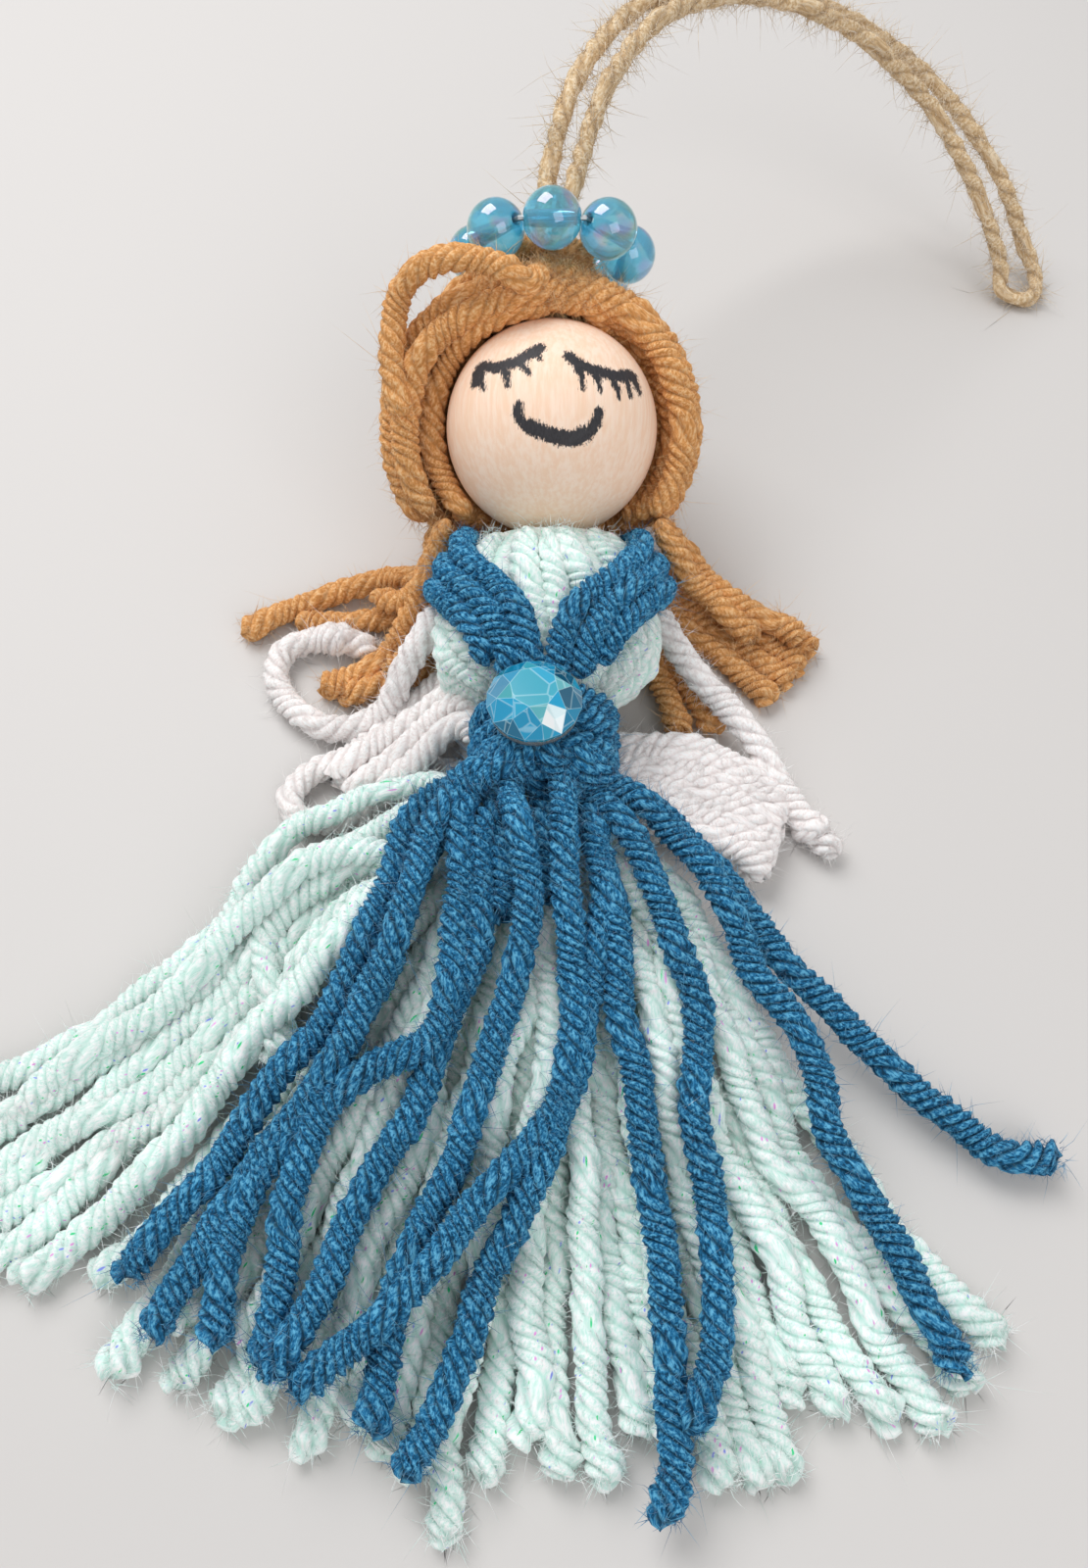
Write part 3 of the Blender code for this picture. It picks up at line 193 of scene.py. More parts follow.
def fibre_forms(line, reach, facing, a_metre, length, seed, thickness=0.00004, spread=1.0,
                rings=3, curling=1.0):
    """Loose fibres: three-sided spikes rooted in a strand, leaving it slantwise and curling over.

    A fibre's point at share t is its root + length * (direction * t + curl * t squared). One ring
    gives a straight fibre, two or three a bent one."""
    chance = np.random.default_rng(seed)
    line = np.asarray(line, float)
    gone = line_length(line)
    count = max(3, int(gone[-1] * a_metre))
    s = chance.uniform(0, gone[-1], count)
    along, outward, sideways = (taken_at(v, gone, s) for v in carried_frame(line, facing))
    turn = chance.uniform(-math.pi, math.pi, count)[:, None]
    spoke = outward * np.cos(turn) + sideways * np.sin(turn)
    root = taken_at(line, gone, s) + spoke * reach * 0.78
    direction = unit(
        spoke * chance.uniform(0.25, 1.0, (count, 1)) * spread
        + along * chance.normal(0, 0.9, (count, 1))
        + np.cross(along, spoke) * chance.normal(0, 0.5, (count, 1)))
    curl = np.clip(chance.normal(0, 0.45, (count, 3)), -0.9, 0.9) * curling
    size = length * np.minimum(chance.lognormal(0, 0.45, (count, 1)), 2.0)
    share = (np.arange(rings) / rings)[None, :, None]
    middle = root[:, None] + size[:, None] * (direction[:, None] * share + curl[:, None] * share**2)
    last = root + size * (direction + curl)
    first_side = unit(np.cross(direction, [0.31, 0.52, 0.80]))[:, None]
    second_side = np.cross(direction, first_side[:, 0])[:, None]
    corner = (np.arange(3) * 2 * math.pi / 3)[None, :, None]
    ring = first_side * np.cos(corner) + second_side * np.sin(corner)
    thin = thickness * np.linspace(1.0, 0.6, 3)[None, :rings, None, None]
    tubes = middle[:, :, None] + ring[:, None] * thin
    points = np.concatenate([tubes.reshape(count, 3 * rings, 3), last[:, None]], axis=1)
    points[..., 2] = np.maximum(points[..., 2], TABLE / 2)
    base = 3 * (rings - 1)
    quads = np.array([
        [3 * row + k, 3 * row + (k + 1) % 3, 3 * row + 3 + (k + 1) % 3, 3 * row + 3 + k]
        for row in range(rings - 1) for k in range(3)], int).reshape(-1, 4)
    tris = np.array([
        [base, base + 1, base + 3], [base + 1, base + 2, base + 3], [base + 2, base, base + 3],
        [2, 1, 0]])
    first = np.arange(count)[:, None, None] * (3 * rings + 1)
    return (
        points.reshape(-1, 3), (quads[None] + first).reshape(-1, 4),
        (tris[None] + first).reshape(-1, 3))


def nap_forms(line, reach, facing, seed, dense=1.0):
    """A strand's nap: many short fibres lying close to it and some long thin curled ones."""
    return [
        fibre_forms(line, reach, facing, 20000 * dense, 0.0010, seed, thickness=0.00006,
                    spread=0.7, rings=1),
        fibre_forms(line, reach, facing, 4200 * dense, 0.0015, seed + 7, thickness=0.000036,
                    spread=0.8, rings=2, curling=2.0),
    ]


def made_object(name, points, quads, tris, uv, finish):
    """An object at the origin from arrays of points, quads, triangles and a UV for each corner."""
    tris = np.zeros((0, 3), int) if tris is None else tris
    corners = np.concatenate([quads.reshape(-1), tris.reshape(-1)]).astype(np.int32)
    starts = np.concatenate(
        [np.arange(len(quads)) * 4, len(quads) * 4 + np.arange(len(tris)) * 3]).astype(np.int32)
    mesh = bpy.data.meshes.new(name)
    mesh.vertices.add(len(points))
    mesh.vertices.foreach_set("co", points.astype(np.float32).ravel())
    mesh.loops.add(len(corners))
    mesh.loops.foreach_set("vertex_index", corners)
    mesh.polygons.add(len(starts))
    mesh.polygons.foreach_set("loop_start", starts)
    mesh.update(calc_edges=True)
    if uv is not None:
        layer = mesh.uv_layers.new(name="UVMap")
        layer.data.foreach_set("uv", uv.astype(np.float32).ravel())
    mesh.polygons.foreach_set("use_smooth", np.ones(len(starts), bool))
    mesh.validate()
    mesh.update()
    mesh.materials.append(finish)
    made = bpy.data.objects.new(name, mesh)
    bpy.context.scene.collection.objects.link(made)
    return made


def settled(piece, body, slot, *nodes):
    """Say which body a finished piece moves with, and hide the parts it stands for; the slot is not
    used.
    """
    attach(piece, body)
    if nodes:
        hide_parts(*nodes)
    return piece


def stacked_piece(name, forms, finish, body, slot, *nodes):
    """Several forms put together as one settled piece; strands bring a UV, fibres triangles."""
    starts = np.concatenate([[0], np.cumsum([len(form[0]) for form in forms])])
    points = np.concatenate([form[0] for form in forms])
    quads = np.concatenate([form[1] + start for form, start in zip(forms, starts)])
    if forms[0][2].ndim == 3:
        tris, uv = None, np.concatenate([form[2] for form in forms])
    else:
        tris, uv = np.concatenate([form[2] + start for form, start in zip(forms, starts)]), None
    return settled(made_object(name, points, quads, tris, uv, finish), body, slot, *nodes)


def colour(code):
    """A colour written as sRGB hex, in the linear values that a shader reads."""
    values = np.array([int(code[k:k + 2], 16) for k in (1, 3, 5)]) / 255
    linear = np.where(values <= 0.04045, values / 12.92, ((values + 0.055) / 1.055) ** 2.4)
    return (*linear, 1.0)


def fed(tree, node, inputs):
    """A node with its inputs given: each a value, or a socket to link."""
    for socket, given in inputs.items():
        if isinstance(given, bpy.types.NodeSocket):
            tree.links.new(given, node.inputs[socket])
        else:
            node.inputs[socket].default_value = given
    return node


def added(tree, kind, inputs, **settings):
    """A new node of a kind, with its settings and its inputs."""
    node = tree.nodes.new(kind)
    for key, value in settings.items():
        setattr(node, key, value)
    return fed(tree, node, inputs)


def reckoned(tree, operation, *values):
    """One arithmetic step; its values are numbers or sockets."""
    return added(tree, "ShaderNodeMath", dict(enumerate(values)), operation=operation).outputs[0]


def times(tree, a, b):
    """The product of two values."""
    return reckoned(tree, "MULTIPLY", a, b)


def plus(tree, a, b):
    """The sum of two values."""
    return reckoned(tree, "ADD", a, b)


def minus(tree, a, b):
    """The first value less the second."""
    return reckoned(tree, "SUBTRACT", a, b)


def mixed(tree, factor, a, b):
    """Two colours mixed by a factor."""
    return added(tree, "ShaderNodeMix", {0: factor, 6: a, 7: b}, data_type="RGBA").outputs[2]


def ranged(tree, value, low, high, to_low=0.0, to_high=1.0):
    """A value carried smoothly from one range to another."""
    return added(
        tree, "ShaderNodeMapRange", {0: value, 1: low, 2: high, 3: to_low, 4: to_high},
        interpolation_type="SMOOTHSTEP").outputs[0]


def noise(tree, place, scale, detail=2.0, roughness=0.5):
    """A cloudy value from 0 to 1 at a place."""
    return added(tree, "ShaderNodeTexNoise", {
        "Vector": place, "Scale": scale, "Detail": detail, "Roughness": roughness}).outputs[0]


def scaled(tree, shade, factor):
    """A colour made lighter or darker by a factor."""
    return added(
        tree, "ShaderNodeVectorMath", {0: shade, 3: factor}, operation="SCALE").outputs[0]


def split(tree, vector):
    """The three parts of a vector or a colour."""
    return added(tree, "ShaderNodeSeparateXYZ", {0: vector}).outputs


def colour_ramp(tree, value, stops, interpolation="LINEAR"):
    """The colour at a value, from stops in order, each a place and an sRGB hex code."""
    node = added(tree, "ShaderNodeValToRGB", {0: value})
    node.color_ramp.interpolation = interpolation
    elements = node.color_ramp.elements
    elements[0].position, elements[1].position = stops[0][0], stops[-1][0]
    for place, _ in stops[1:-1]:
        elements.new(place)
    for element, (_, code) in zip(elements, stops):
        element.color = colour(code)
    return node.outputs[0]


def object_place(tree):
    """The place of a point in the object's own coordinates."""
    return tree.nodes.new("ShaderNodeTexCoord").outputs["Object"]


def new_material(name):
    """A material with its node tree, its shader and the object's own coordinates."""
    made = bpy.data.materials.new(name)
    made.use_nodes = True
    tree = made.node_tree
    return made, tree, tree.nodes["Principled BSDF"], object_place(tree)


def new_group(name, inputs, outputs):
    """An empty shader group with named inputs and outputs, each (name, kind, value)."""
    tree = bpy.data.node_groups.new(name, "ShaderNodeTree")
    for label, kind, value in inputs:
        socket = tree.interface.new_socket(label, in_out="INPUT", socket_type=f"NodeSocket{kind}")
        socket.default_value = value
    for label, kind in outputs:
        tree.interface.new_socket(label, in_out="OUTPUT", socket_type=f"NodeSocket{kind}")
    return tree, tree.nodes.new("NodeGroupInput").outputs, tree.nodes.new("NodeGroupOutput")


def fibre_places(tree, given):
    """A strand's UV parts, and a maker of places that follow its twisted fibres."""
    u, v, _ = split(tree, tree.nodes.new("ShaderNodeUVMap").outputs[0])
    unwound = minus(tree, u, times(tree, v, given["Unwind"]))

    def place(across, along):
        parts = {0: times(tree, unwound, across), 1: times(tree, v, along)}
        return added(tree, "ShaderNodeCombineXYZ", parts).outputs[0]

    return u, place


def fibre_group():
    """Spun fibres: fine streaks along the strand, painted shade in the ply grooves and in flecks,
    painted highlight flecks.
    """
    tree, given, out = new_group(
        "spun_fibres",
        [("Body", "Color", (0.5, 0.5, 0.5, 1)), ("Light", "Color", (0.8, 0.8, 0.8, 1)),
         ("Painted Shade", "Color", (0.1, 0.1, 0.1, 1)), ("Unwind", "Float", 0.56),
         ("Painted Shade Share", "Float", 0.8), ("Painted Highlight Share", "Float", 0.6)],
        [("Color", "Color"), ("Height", "Float"), ("Streaks", "Float")])
    u, place = fibre_places(tree, given)
    fine = noise(tree, place(8.5, 2.1), 1.0, 5.0, 0.65)
    broad = noise(tree, place(3.4, 1.3), 1.0, 2.0, 0.65)
    both = plus(tree, times(tree, fine, 0.65), times(tree, broad, 0.35))
    across = minus(tree, times(tree, reckoned(tree, "FRACT", u), 2.0), 1.0)
    off_crown = reckoned(tree, "ABSOLUTE", across)
    ragged = plus(tree, off_crown, times(tree, minus(tree, fine, 0.5), 1.3))
    # painted shade in the grooves between plies
    painted_groove_shade = times(tree, ranged(tree, ragged, 0.60, 1.02), given["Painted Shade Share"])
    # painted highlight flecks, from the fibre noise
    painted_highlight_flecks = times(tree, ranged(tree, both, 0.48, 0.58), given["Painted Highlight Share"])
    # painted shade flecks, from the fibre noise
    dark = times(tree, ranged(tree, both, 0.50, 0.40), given["Painted Shade Share"])
    shade = mixed(tree, painted_highlight_flecks, given["Body"], given["Light"])
    shade = mixed(tree, dark, shade, given["Painted Shade"])
    shade = mixed(tree, painted_groove_shade, shade, given["Painted Shade"])
    fed(tree, out, {"Color": shade, "Height": both, "Streaks": fine})
    return tree


def tinsel_group():
    """Lurex glints: short bright dashes along the strand, each pink, green or violet."""
    tree, given, out = new_group(
        "tinsel", [("Amount", "Float", 0.5), ("Unwind", "Float", 0.56)],
        [("Mask", "Float"), ("Color", "Color")])
    _, place = fibre_places(tree, given)
    cells = added(tree, "ShaderNodeTexVoronoi", {"Vector": place(9.0, 1.6), "Scale": 0.5}).outputs
    near = ranged(tree, cells["Distance"], 0.26, 0.14)
    some = ranged(tree, noise(tree, object_place(tree), 420.0), 0.50, 0.56)
    mask = times(tree, times(tree, near, some), given["Amount"])
    hue = colour_ramp(tree, split(tree, cells["Color"])[0], (
        (0.0, "#38D98F"), (0.4, "#E79AE0"), (0.7, "#8C9BF0")), "CONSTANT")
    fed(tree, out, {"Mask": mask, "Color": hue})
    return tree


SPUN_FIBRES = fibre_group()
TINSEL = tinsel_group()


def yarn_material(name, body, painted_highlight, painted_shade, unwind=0.56, painted_shade_share=0.8, painted_highlight_share=0.6,
                  bump=0.5, sheen=0.25, tinsel=0.0, scatter=0.0):
    """A spun yarn: fibre colours with painted shade and painted highlights, fine bump from its
    streaks, soft and matt with a sheen.
    """
    made, tree, shader, place = new_material(name)
    fibres = added(tree, "ShaderNodeGroup", {}, node_tree=SPUN_FIBRES)
    fed(tree, fibres, {
        "Body": colour(body), "Light": colour(painted_highlight), "Painted Shade": colour(painted_shade), "Unwind": unwind,
        "Painted Shade Share": painted_shade_share, "Painted Highlight Share": painted_highlight_share})
    tone = ranged(tree, noise(tree, place, 90.0, 3.0), 0.3, 0.7, 0.88, 1.08)
    shade = scaled(tree, fibres.outputs["Color"], tone)
    rough = ranged(tree, fibres.outputs["Streaks"], 0.35, 0.65, 0.88, 0.70)
    if tinsel:
        glints = added(tree, "ShaderNodeGroup", {}, node_tree=TINSEL)
        mask = fed(tree, glints, {"Amount": tinsel, "Unwind": unwind}).outputs["Mask"]
        shade = mixed(tree, mask, shade, glints.outputs["Color"])
        rough = minus(tree, rough, times(tree, mask, 0.5))
    raised = added(tree, "ShaderNodeBump", {
        "Height": fibres.outputs["Height"], "Strength": bump, "Distance": 0.0004})
    fed(tree, shader, {
        "Base Color": shade, "Roughness": rough, "Normal": raised.outputs[0],
        "Specular IOR Level": 0.25, "Sheen Weight": sheen, "Sheen Roughness": 0.45,
        "Sheen Tint": colour(painted_highlight), "Subsurface Weight": scatter, "Subsurface Scale": 0.0016,
        "Subsurface Radius": (0.8, 1.0, 1.0)})
    return made


def fuzz_material(name, pale, dark):
    """Loose fibre ends: two tones of the yarn's own colour in clouds."""
    made, tree, shader, place = new_material(name)
    tone = ranged(tree, noise(tree, place, 700.0), 0.4, 0.6)
    fed(tree, shader, {
        "Base Color": mixed(tree, tone, colour(pale), colour(dark)), "Roughness": 0.8,
        "Sheen Weight": 0.2})
    return made


# the yarn's own colour, then its painted highlight and its painted shade
TWINE_YARN = yarn_material(
    "jute_twine", "#DCBE94", "#F5E4C8", "#A5835C", unwind=0.19, painted_shade_share=0.55,
    painted_highlight_share=0.85, bump=0.7, sheen=0.1)
TWINE_FUZZ = fuzz_material("jute_fibre", "#F2E4CE", "#CFB38C")

ARCH = np.array([
    (0.0030, 0.0790, 0.0450), (0.0075, 0.0925, 0.0500), (0.0175, 0.1080, 0.0515),
    (0.0340, 0.1215, 0.0470), (0.0520, 0.1275, 0.0385), (0.0680, 0.1260, 0.0280),
    (0.0800, 0.1190, 0.0165), (0.0866, 0.1130, 0.0066),
])
ARCH_HALF_WIDTHS = np.array([0.0021, 0.0024, 0.0022, 0.0019, 0.0021, 0.0034, 0.0042, 0.0040])
BIGHT = [(0.0921, 0.1110, 0.0024), (0.0901, 0.1060, 0.0016), (0.0851, 0.1075, 0.0024)]
ARCH_FACING = (-0.40, 0.46, -0.79)


def arch_line():
    """The twine's own line: both runs stand half a width to either side of the arch."""
    mouth = HEAD_CENTRE + BORE_AXIS * CORD_TOP
    apart = ACROSS * (TWINE_DIAMETER / 2 + GAP)
    ends = np.vstack([ARCH[:1], ARCH, ARCH[-1:]])
    heading = ends[2:] - ends[:-2]
    sideways = unit(np.stack([heading[:, 1], -heading[:, 0], 0 * heading[:, 0]], 1))
    sideways = sideways * ARCH_HALF_WIDTHS[:, None]
    out = [mouth - apart, mouth - apart + BORE_AXIS * TWINE_DIAMETER, *(ARCH - sideways)]
    back = [mouth + apart, mouth + apart + BORE_AXIS * TWINE_DIAMETER, *(ARCH + sideways)]
    return smooth_line([*out, *BIGHT, *reversed(back)])


hanger_line = arch_line()
hanger = stacked_piece("hanging_loop", [yarn_form(
    hanger_line, TWINE_DIAMETER, ARCH_FACING, points_a_ply=9, rough=0.022, **TWINE_SPIN,
    swell=[(k / 40, 1 + 0.05 * math.sin(k * 2.1)) for k in range(41)],
)], TWINE_YARN, "doll", "twine", "hanger")
hanger_fibres = stacked_piece("hanging_loop_fibres", [
    fibre_forms(hanger_line, TWINE_DIAMETER / 2, ARCH_FACING, a_metre, length, seed, **more)
    for a_metre, length, seed, more in (
        (12000, 0.0015, 11, {"thickness": 0.00006, "rings": 1}),
        (5600, 0.0028, 12, {"thickness": 0.000055}), (700, 0.0042, 13, {"spread": 0.7}))
], TWINE_FUZZ, "doll", "twine")
float(line_length(hanger_line)[-1])

# ---------------------------------------------------------------- Twine in the head
# The same twine, doubled, runs through the bead from the torso up to the gathered hair.
# It is only glimpsed between the crown beads.

neck_forms = []
for side in (-1, 1):
    shift = ACROSS * (side * TWINE_DIAMETER * 0.48)
    ends = [HEAD_CENTRE - BORE_AXIS * HEAD_RADIUS + shift, HEAD_CENTRE + shift,
            HEAD_CENTRE + BORE_AXIS * (CORD_TOP - GAP) + shift]
    neck_forms.append(yarn_form(smooth_line(ends), TWINE_DIAMETER, FACE_AXIS, **TWINE_SPIN))
stacked_piece("neck_twine", neck_forms, TWINE_YARN, "doll", "twine", "neck_cord")

# ---------------------------------------------------------------- Torso
# Pale mint acrylic yarn with a thin tinsel thread, folded over the head's twine in a thick hank
# and drawn in at the waist. Its strands stand upright round the chest.

WAIST_FRONT = 0.0064
WAIST_RADIUS = 0.0062
WRAP_YARN_DIAMETER = 0.0034
KNOT_THICKNESS = 0.0034
WRAP_RADIUS = WAIST_RADIUS + GAP + WRAP_YARN_DIAMETER / 2
WAIST_HEIGHT = KNOT_THICKNESS + GAP + WRAP_RADIUS + WRAP_YARN_DIAMETER / 2
CHEST_HALF_WIDTH = 0.0155
CHEST_HALF_DEPTH = 0.0108
CHEST_STATIONS = (0.0, 0.12, 0.3, 0.55, 0.76, 0.9, 1.0)
CHEST_WIDTHS = (0.56, 0.76, 0.90, 1.0, 0.97, 0.66, WAIST_RADIUS / CHEST_HALF_WIDTH)
CHEST_DEPTHS = (0.70, 0.88, 1.0, 1.0, 0.93, 0.74, WAIST_RADIUS / CHEST_HALF_DEPTH)
TORSO_STRANDS = 17
TORSO_STRAND_DIAMETER = 0.0042
TORSO_SWELL = ((0, 0.75), (0.2, 0.95), (0.55, 1.08), (0.8, 0.9), (1.0, 0.6))
CORE_SHARE = 0.88
CORE_COLUMNS = 32

# the yarn's own colour, then its painted highlight and its painted shade
MINT_YARN = yarn_material(
    "mint_yarn", "#E4F6F1", "#FFFFFF", "#9ADCCB", painted_shade_share=0.42, painted_highlight_share=0.9, bump=0.35,
    sheen=0.1, tinsel=1.0, scatter=0.3)
MINT_FUZZ = fuzz_material("mint_fibre", "#FFFFFF", "#DDF2ED")


def chest_line(t):
    """The torso's centre line, a cubic Bezier from the bead to the winding, and its direction."""
    t = np.asarray(t, float)[..., None]
    waist = np.array([0, WAIST_FRONT, WAIST_HEIGHT])
    handles = np.array([NECK, NECK - BORE_AXIS * 0.0110, waist + [0, 0.0095, 0], waist])
    shares = ((1 - t)**3, 3 * t * (1 - t)**2, 3 * t**2 * (1 - t), t**3)
    slope = sum(leg * w for leg, w in zip(
        np.diff(handles, axis=0), ((1 - t)**2, 2 * t * (1 - t), t**2)))
    return sum(handle * w for handle, w in zip(handles, shares)), unit(slope)


def chest_half_sizes(t):
    """The torso's half width and half depth at station t."""
    width = np.interp(t, CHEST_STATIONS, CHEST_WIDTHS) * CHEST_HALF_WIDTH
    return width, np.interp(t, CHEST_STATIONS, CHEST_DEPTHS) * CHEST_HALF_DEPTH


def chest_surface(t, angle):
    """A point of the elliptical torso at t and angle, 0 at +X and a quarter turn in front."""
    centre, heading = chest_line(t)
    back = np.cross(ACROSS, heading)
    width, depth = (size[..., None] for size in chest_half_sizes(t))
    angle = angle[..., None]
    return centre + ACROSS * np.cos(angle) * width - back * np.sin(angle) * depth


def chest_point(t, angle, outward=0.0):
    """The torso's point at t and angle, moved outward along its own normal; and the normal."""
    t, angle = np.broadcast_arrays(np.asarray(t, float), np.asarray(angle, float))
    step = 0.03
    lower, upper = np.maximum(t - step, -step), np.minimum(t + step, 1)
    along = chest_surface(upper, angle) - chest_surface(lower, angle)
    around = chest_surface(t, angle + step) - chest_surface(t, angle - step)
    normal = unit(np.cross(around, along))
    return chest_surface(t, angle) + normal * outward, normal


def wandering(line, facing, amount, seed, lift=0.35, quiet=0.006):
    """A line that sways like slack yarn, by three sines of unlike length, but not at its root."""
    chance = np.random.default_rng(seed)
    s = line_length(line)
    _, outward, sideways = carried_frame(line, facing)
    sway = np.zeros((2, len(s)))
    for wave, weight in ((0.034, 1.0), (0.019, 0.55), (0.010, 0.3)):
        start = chance.uniform(0, FULL_TURN, 2)
        size = chance.uniform(0.6, 1.2, 2) * weight * amount
        sway += size[:, None] * np.sin(FULL_TURN * s[None] / wave + start[:, None])
    sway *= eased(s / quiet)[None]
    return line + sideways * sway[0][:, None] + outward * (sway[1] * lift)[:, None]


def chest_core():
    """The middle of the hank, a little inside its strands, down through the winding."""
    t = np.linspace(0, 1, 30)
    turn = np.linspace(0, FULL_TURN, CORE_COLUMNS, endpoint=False)
    grid_t, grid_turn = np.meshgrid(t, turn, indexing="ij")
    rings = chest_surface(grid_t, -grid_turn)
    centre = chest_line(t)[0][:, None]
    rings = centre + (rings - centre) * CORE_SHARE
    rings = np.concatenate([rings, rings[-1:] + np.array([0, -0.0105, 0])])
    faces = ring_faces(len(rings), CORE_COLUMNS)
    uv = np.stack([faces % CORE_COLUMNS / 2.0, faces // CORE_COLUMNS * 1.0], -1)
    return rings.reshape(-1, 3), faces, uv


torso_forms, torso_fuzz = [], []
for k in range(TORSO_STRANDS):
    t = np.linspace(0.0, 1.0, 60)
    middle = len(t) // 2
    lean = math.radians(-24 + 12 * math.sin(k * 1.9))
    angle = FULL_TURN * (k + 0.3 * math.sin(k * 2.3)) / TORSO_STRANDS + lean * (t - 0.5)
    narrowed = np.clip(np.interp(t, CHEST_STATIONS, CHEST_WIDTHS), 0.5, 1)[:, None]
    line, normal = chest_point(t, angle)
    line = line - normal * (0.0014 + 0.0004 * math.sin(k * 3.1)) * narrowed
    line[-1] += [0, -0.0004, 0]
    size = TORSO_STRAND_DIAMETER + 0.0004 * math.sin(k * 2.7)
    torso_forms.append(yarn_form(
        smooth_line(line[::4]), size, normal[middle], phase=k * 1.7, pitch=0.0078,
        swell=TORSO_SWELL))
    if 0 < (angle[middle] % FULL_TURN) < math.pi * 1.1:
        torso_fuzz += nap_forms(line, size / 2, normal[middle], 900 + k)
stacked_piece(
    "torso_hank", [*torso_forms, chest_core()], MINT_YARN, "doll", "mint_yarn", "torso")
stacked_piece("torso_fuzz", torso_fuzz, MINT_FUZZ, "doll", "mint_yarn")

# ---------------------------------------------------------------- Shoulder straps
# Two bands of deep blue yarn, three strands side by side, cross low on the chest and go over
# the shoulders. Their lower ends are caught under the waist winding.

STRAP_STATIONS = (0.12, 0.14, 0.2, 0.3, 0.42, 0.55, 0.66, 0.76, 0.84, 0.9, 0.94, 0.96)
STRAP_ANGLES = (-30, -10, 10, 29, 42, 54, 62, 67, 68, 66, 62, 58)
STRAP_LIFT = 0.0006 + WRAP_YARN_DIAMETER / 2
BAND_STRANDS = 3
BAND_STRAND_DIAMETER = 0.0036
BAND_STRAND_SPACING = 0.0030
BLUE_SPIN = {"pitch": 0.0058, "groove": 0.36}

# the yarn's own colour, then its painted highlight and its painted shade
BLUE_YARN = yarn_material(
    "blue_yarn", "#1A6D9D", "#69B8DC", "#06283C", painted_shade_share=0.85, painted_highlight_share=0.85, bump=0.7,
    sheen=0.12)
BLUE_FUZZ = fuzz_material("blue_fibre", "#5AA6CE", "#15608C")


def evenly(values, count):
    """A table of values read at a number of equal steps."""
    return taken_at(values, np.linspace(0, 1, len(values)), np.linspace(0, 1, count))


def strap_forms(side, seed):
    """Strands of one band: each keeps its distance across from the band's middle line."""
    t = evenly(np.array(STRAP_STATIONS)[:, None], 45)[:, 0]
    degrees = np.interp(t, STRAP_STATIONS, STRAP_ANGLES)
    angle = np.radians(degrees if side > 0 else 180 - degrees)
    chest_length = np.linalg.norm(chest_line(1.0)[0] - chest_line(0.0)[0])
    width, depth = chest_half_sizes(t)
    girth = (width + depth) / 2 + STRAP_LIFT
    run = unit(np.stack([np.gradient(t) * chest_length, np.gradient(angle) * girth], 1))
    forms, fuzz = [], []
    for k in range(BAND_STRANDS):
        across = (k - (BAND_STRANDS - 1) / 2) * BAND_STRAND_SPACING
        beside = angle + across * run[:, 0] / girth
        ahead = np.clip(t - across * run[:, 1] / chest_length, 0.06, 0.955)
        line, normal = chest_point(ahead, beside, STRAP_LIFT + 0.0002 * math.sin(k * 2.5))
        line = smooth_line(line[::4])
        facing = evenly(normal, len(line))
        line = wandering(line, facing, 0.00022, seed + k)
        forms.append(yarn_form(
            line, BAND_STRAND_DIAMETER * 1.08, facing, phase=seed + k * 1.3, rough=0.04,
            **BLUE_SPIN))
        fuzz += nap_forms(line, BAND_STRAND_DIAMETER / 2, facing, seed + 50 + k)
    return forms, fuzz


bodice_fuzz = []
for label, side in (("right", 1), ("left", -1)):
    forms, fuzz = strap_forms(side, 40 + side)
    bodice_fuzz += fuzz
    stacked_piece("band_" + label, forms, BLUE_YARN, "doll", "blue_yarn", "strap_" + label)

# ---------------------------------------------------------------- Waist winding
# One blue strand wound three times round the waist over the straps and the skirt's roots.
# Both its ends are tucked flat under the back.

WRAP_TURNS = 3
WINDING_MIDDLE = 0.0003
WINDING_PITCH = 0.0033

turn = np.linspace(-math.pi / 2, -math.pi / 2 + FULL_TURN * WRAP_TURNS, 60 * WRAP_TURNS)
wound = np.stack([
    WRAP_RADIUS * np.cos(turn),
    WINDING_MIDDLE + WINDING_PITCH * (WRAP_TURNS / 2 - (turn + math.pi / 2) / FULL_TURN),
    WAIST_HEIGHT + WRAP_RADIUS * np.sin(turn),
], 1)
lead_in = wound[0] + unit(wound[0] - wound[1]) * WRAP_YARN_DIAMETER
lead_out = wound[-1] + unit(wound[-1] - wound[-2]) * WRAP_YARN_DIAMETER
wound = np.vstack([lead_in, wound, lead_out])
wound_line = smooth_line(wound[::2])
spokes = evenly(unit(wound * [1, 0, 1] - UP * WAIST_HEIGHT), len(wound_line))
wound_line = wandering(wound_line, spokes, 0.0003, 79)
stacked_piece("waist_wrap", [
    yarn_form(wound_line, WRAP_YARN_DIAMETER * 1.12, spokes, rough=0.04, **BLUE_SPIN)
], BLUE_YARN, "doll", "blue_yarn", "waist_winding")
bodice_fuzz += nap_forms(wound_line, WRAP_YARN_DIAMETER / 2, spokes, 77)
stacked_piece("bodice_fuzz", bodice_fuzz, BLUE_FUZZ, "doll", "blue_yarn")

# ---------------------------------------------------------------- Stone
# A flat-backed acrylic gem, clear aqua with a cut front and a mirror-foiled back, set in a drop
# of clear glue on the winding.

STONE_X = -0.0012
STONE_RADIUS = 0.0060
STONE_SIDES = 8
STONE_FOOT = WAIST_HEIGHT + WRAP_RADIUS + WRAP_YARN_DIAMETER / 2 + GAP
STONE_BASE = STONE_FOOT + 0.0008 + GAP
STONE_EDGE = 0.00009
STONE_ROWS = (
    # base, girdle, shoulder and table: corners, radius share, height, turn
    (2 * STONE_SIDES, 0.97, 0.0, 0.0), (2 * STONE_SIDES, 1.0, 0.0007, 0.0),
    (STONE_SIDES, 0.78, 0.0024, 0.0), (STONE_SIDES, 0.50, 0.0036, 0.5),
)
GLUE_RADIUS = 0.0049
GLUE_EDGE = 0.0007


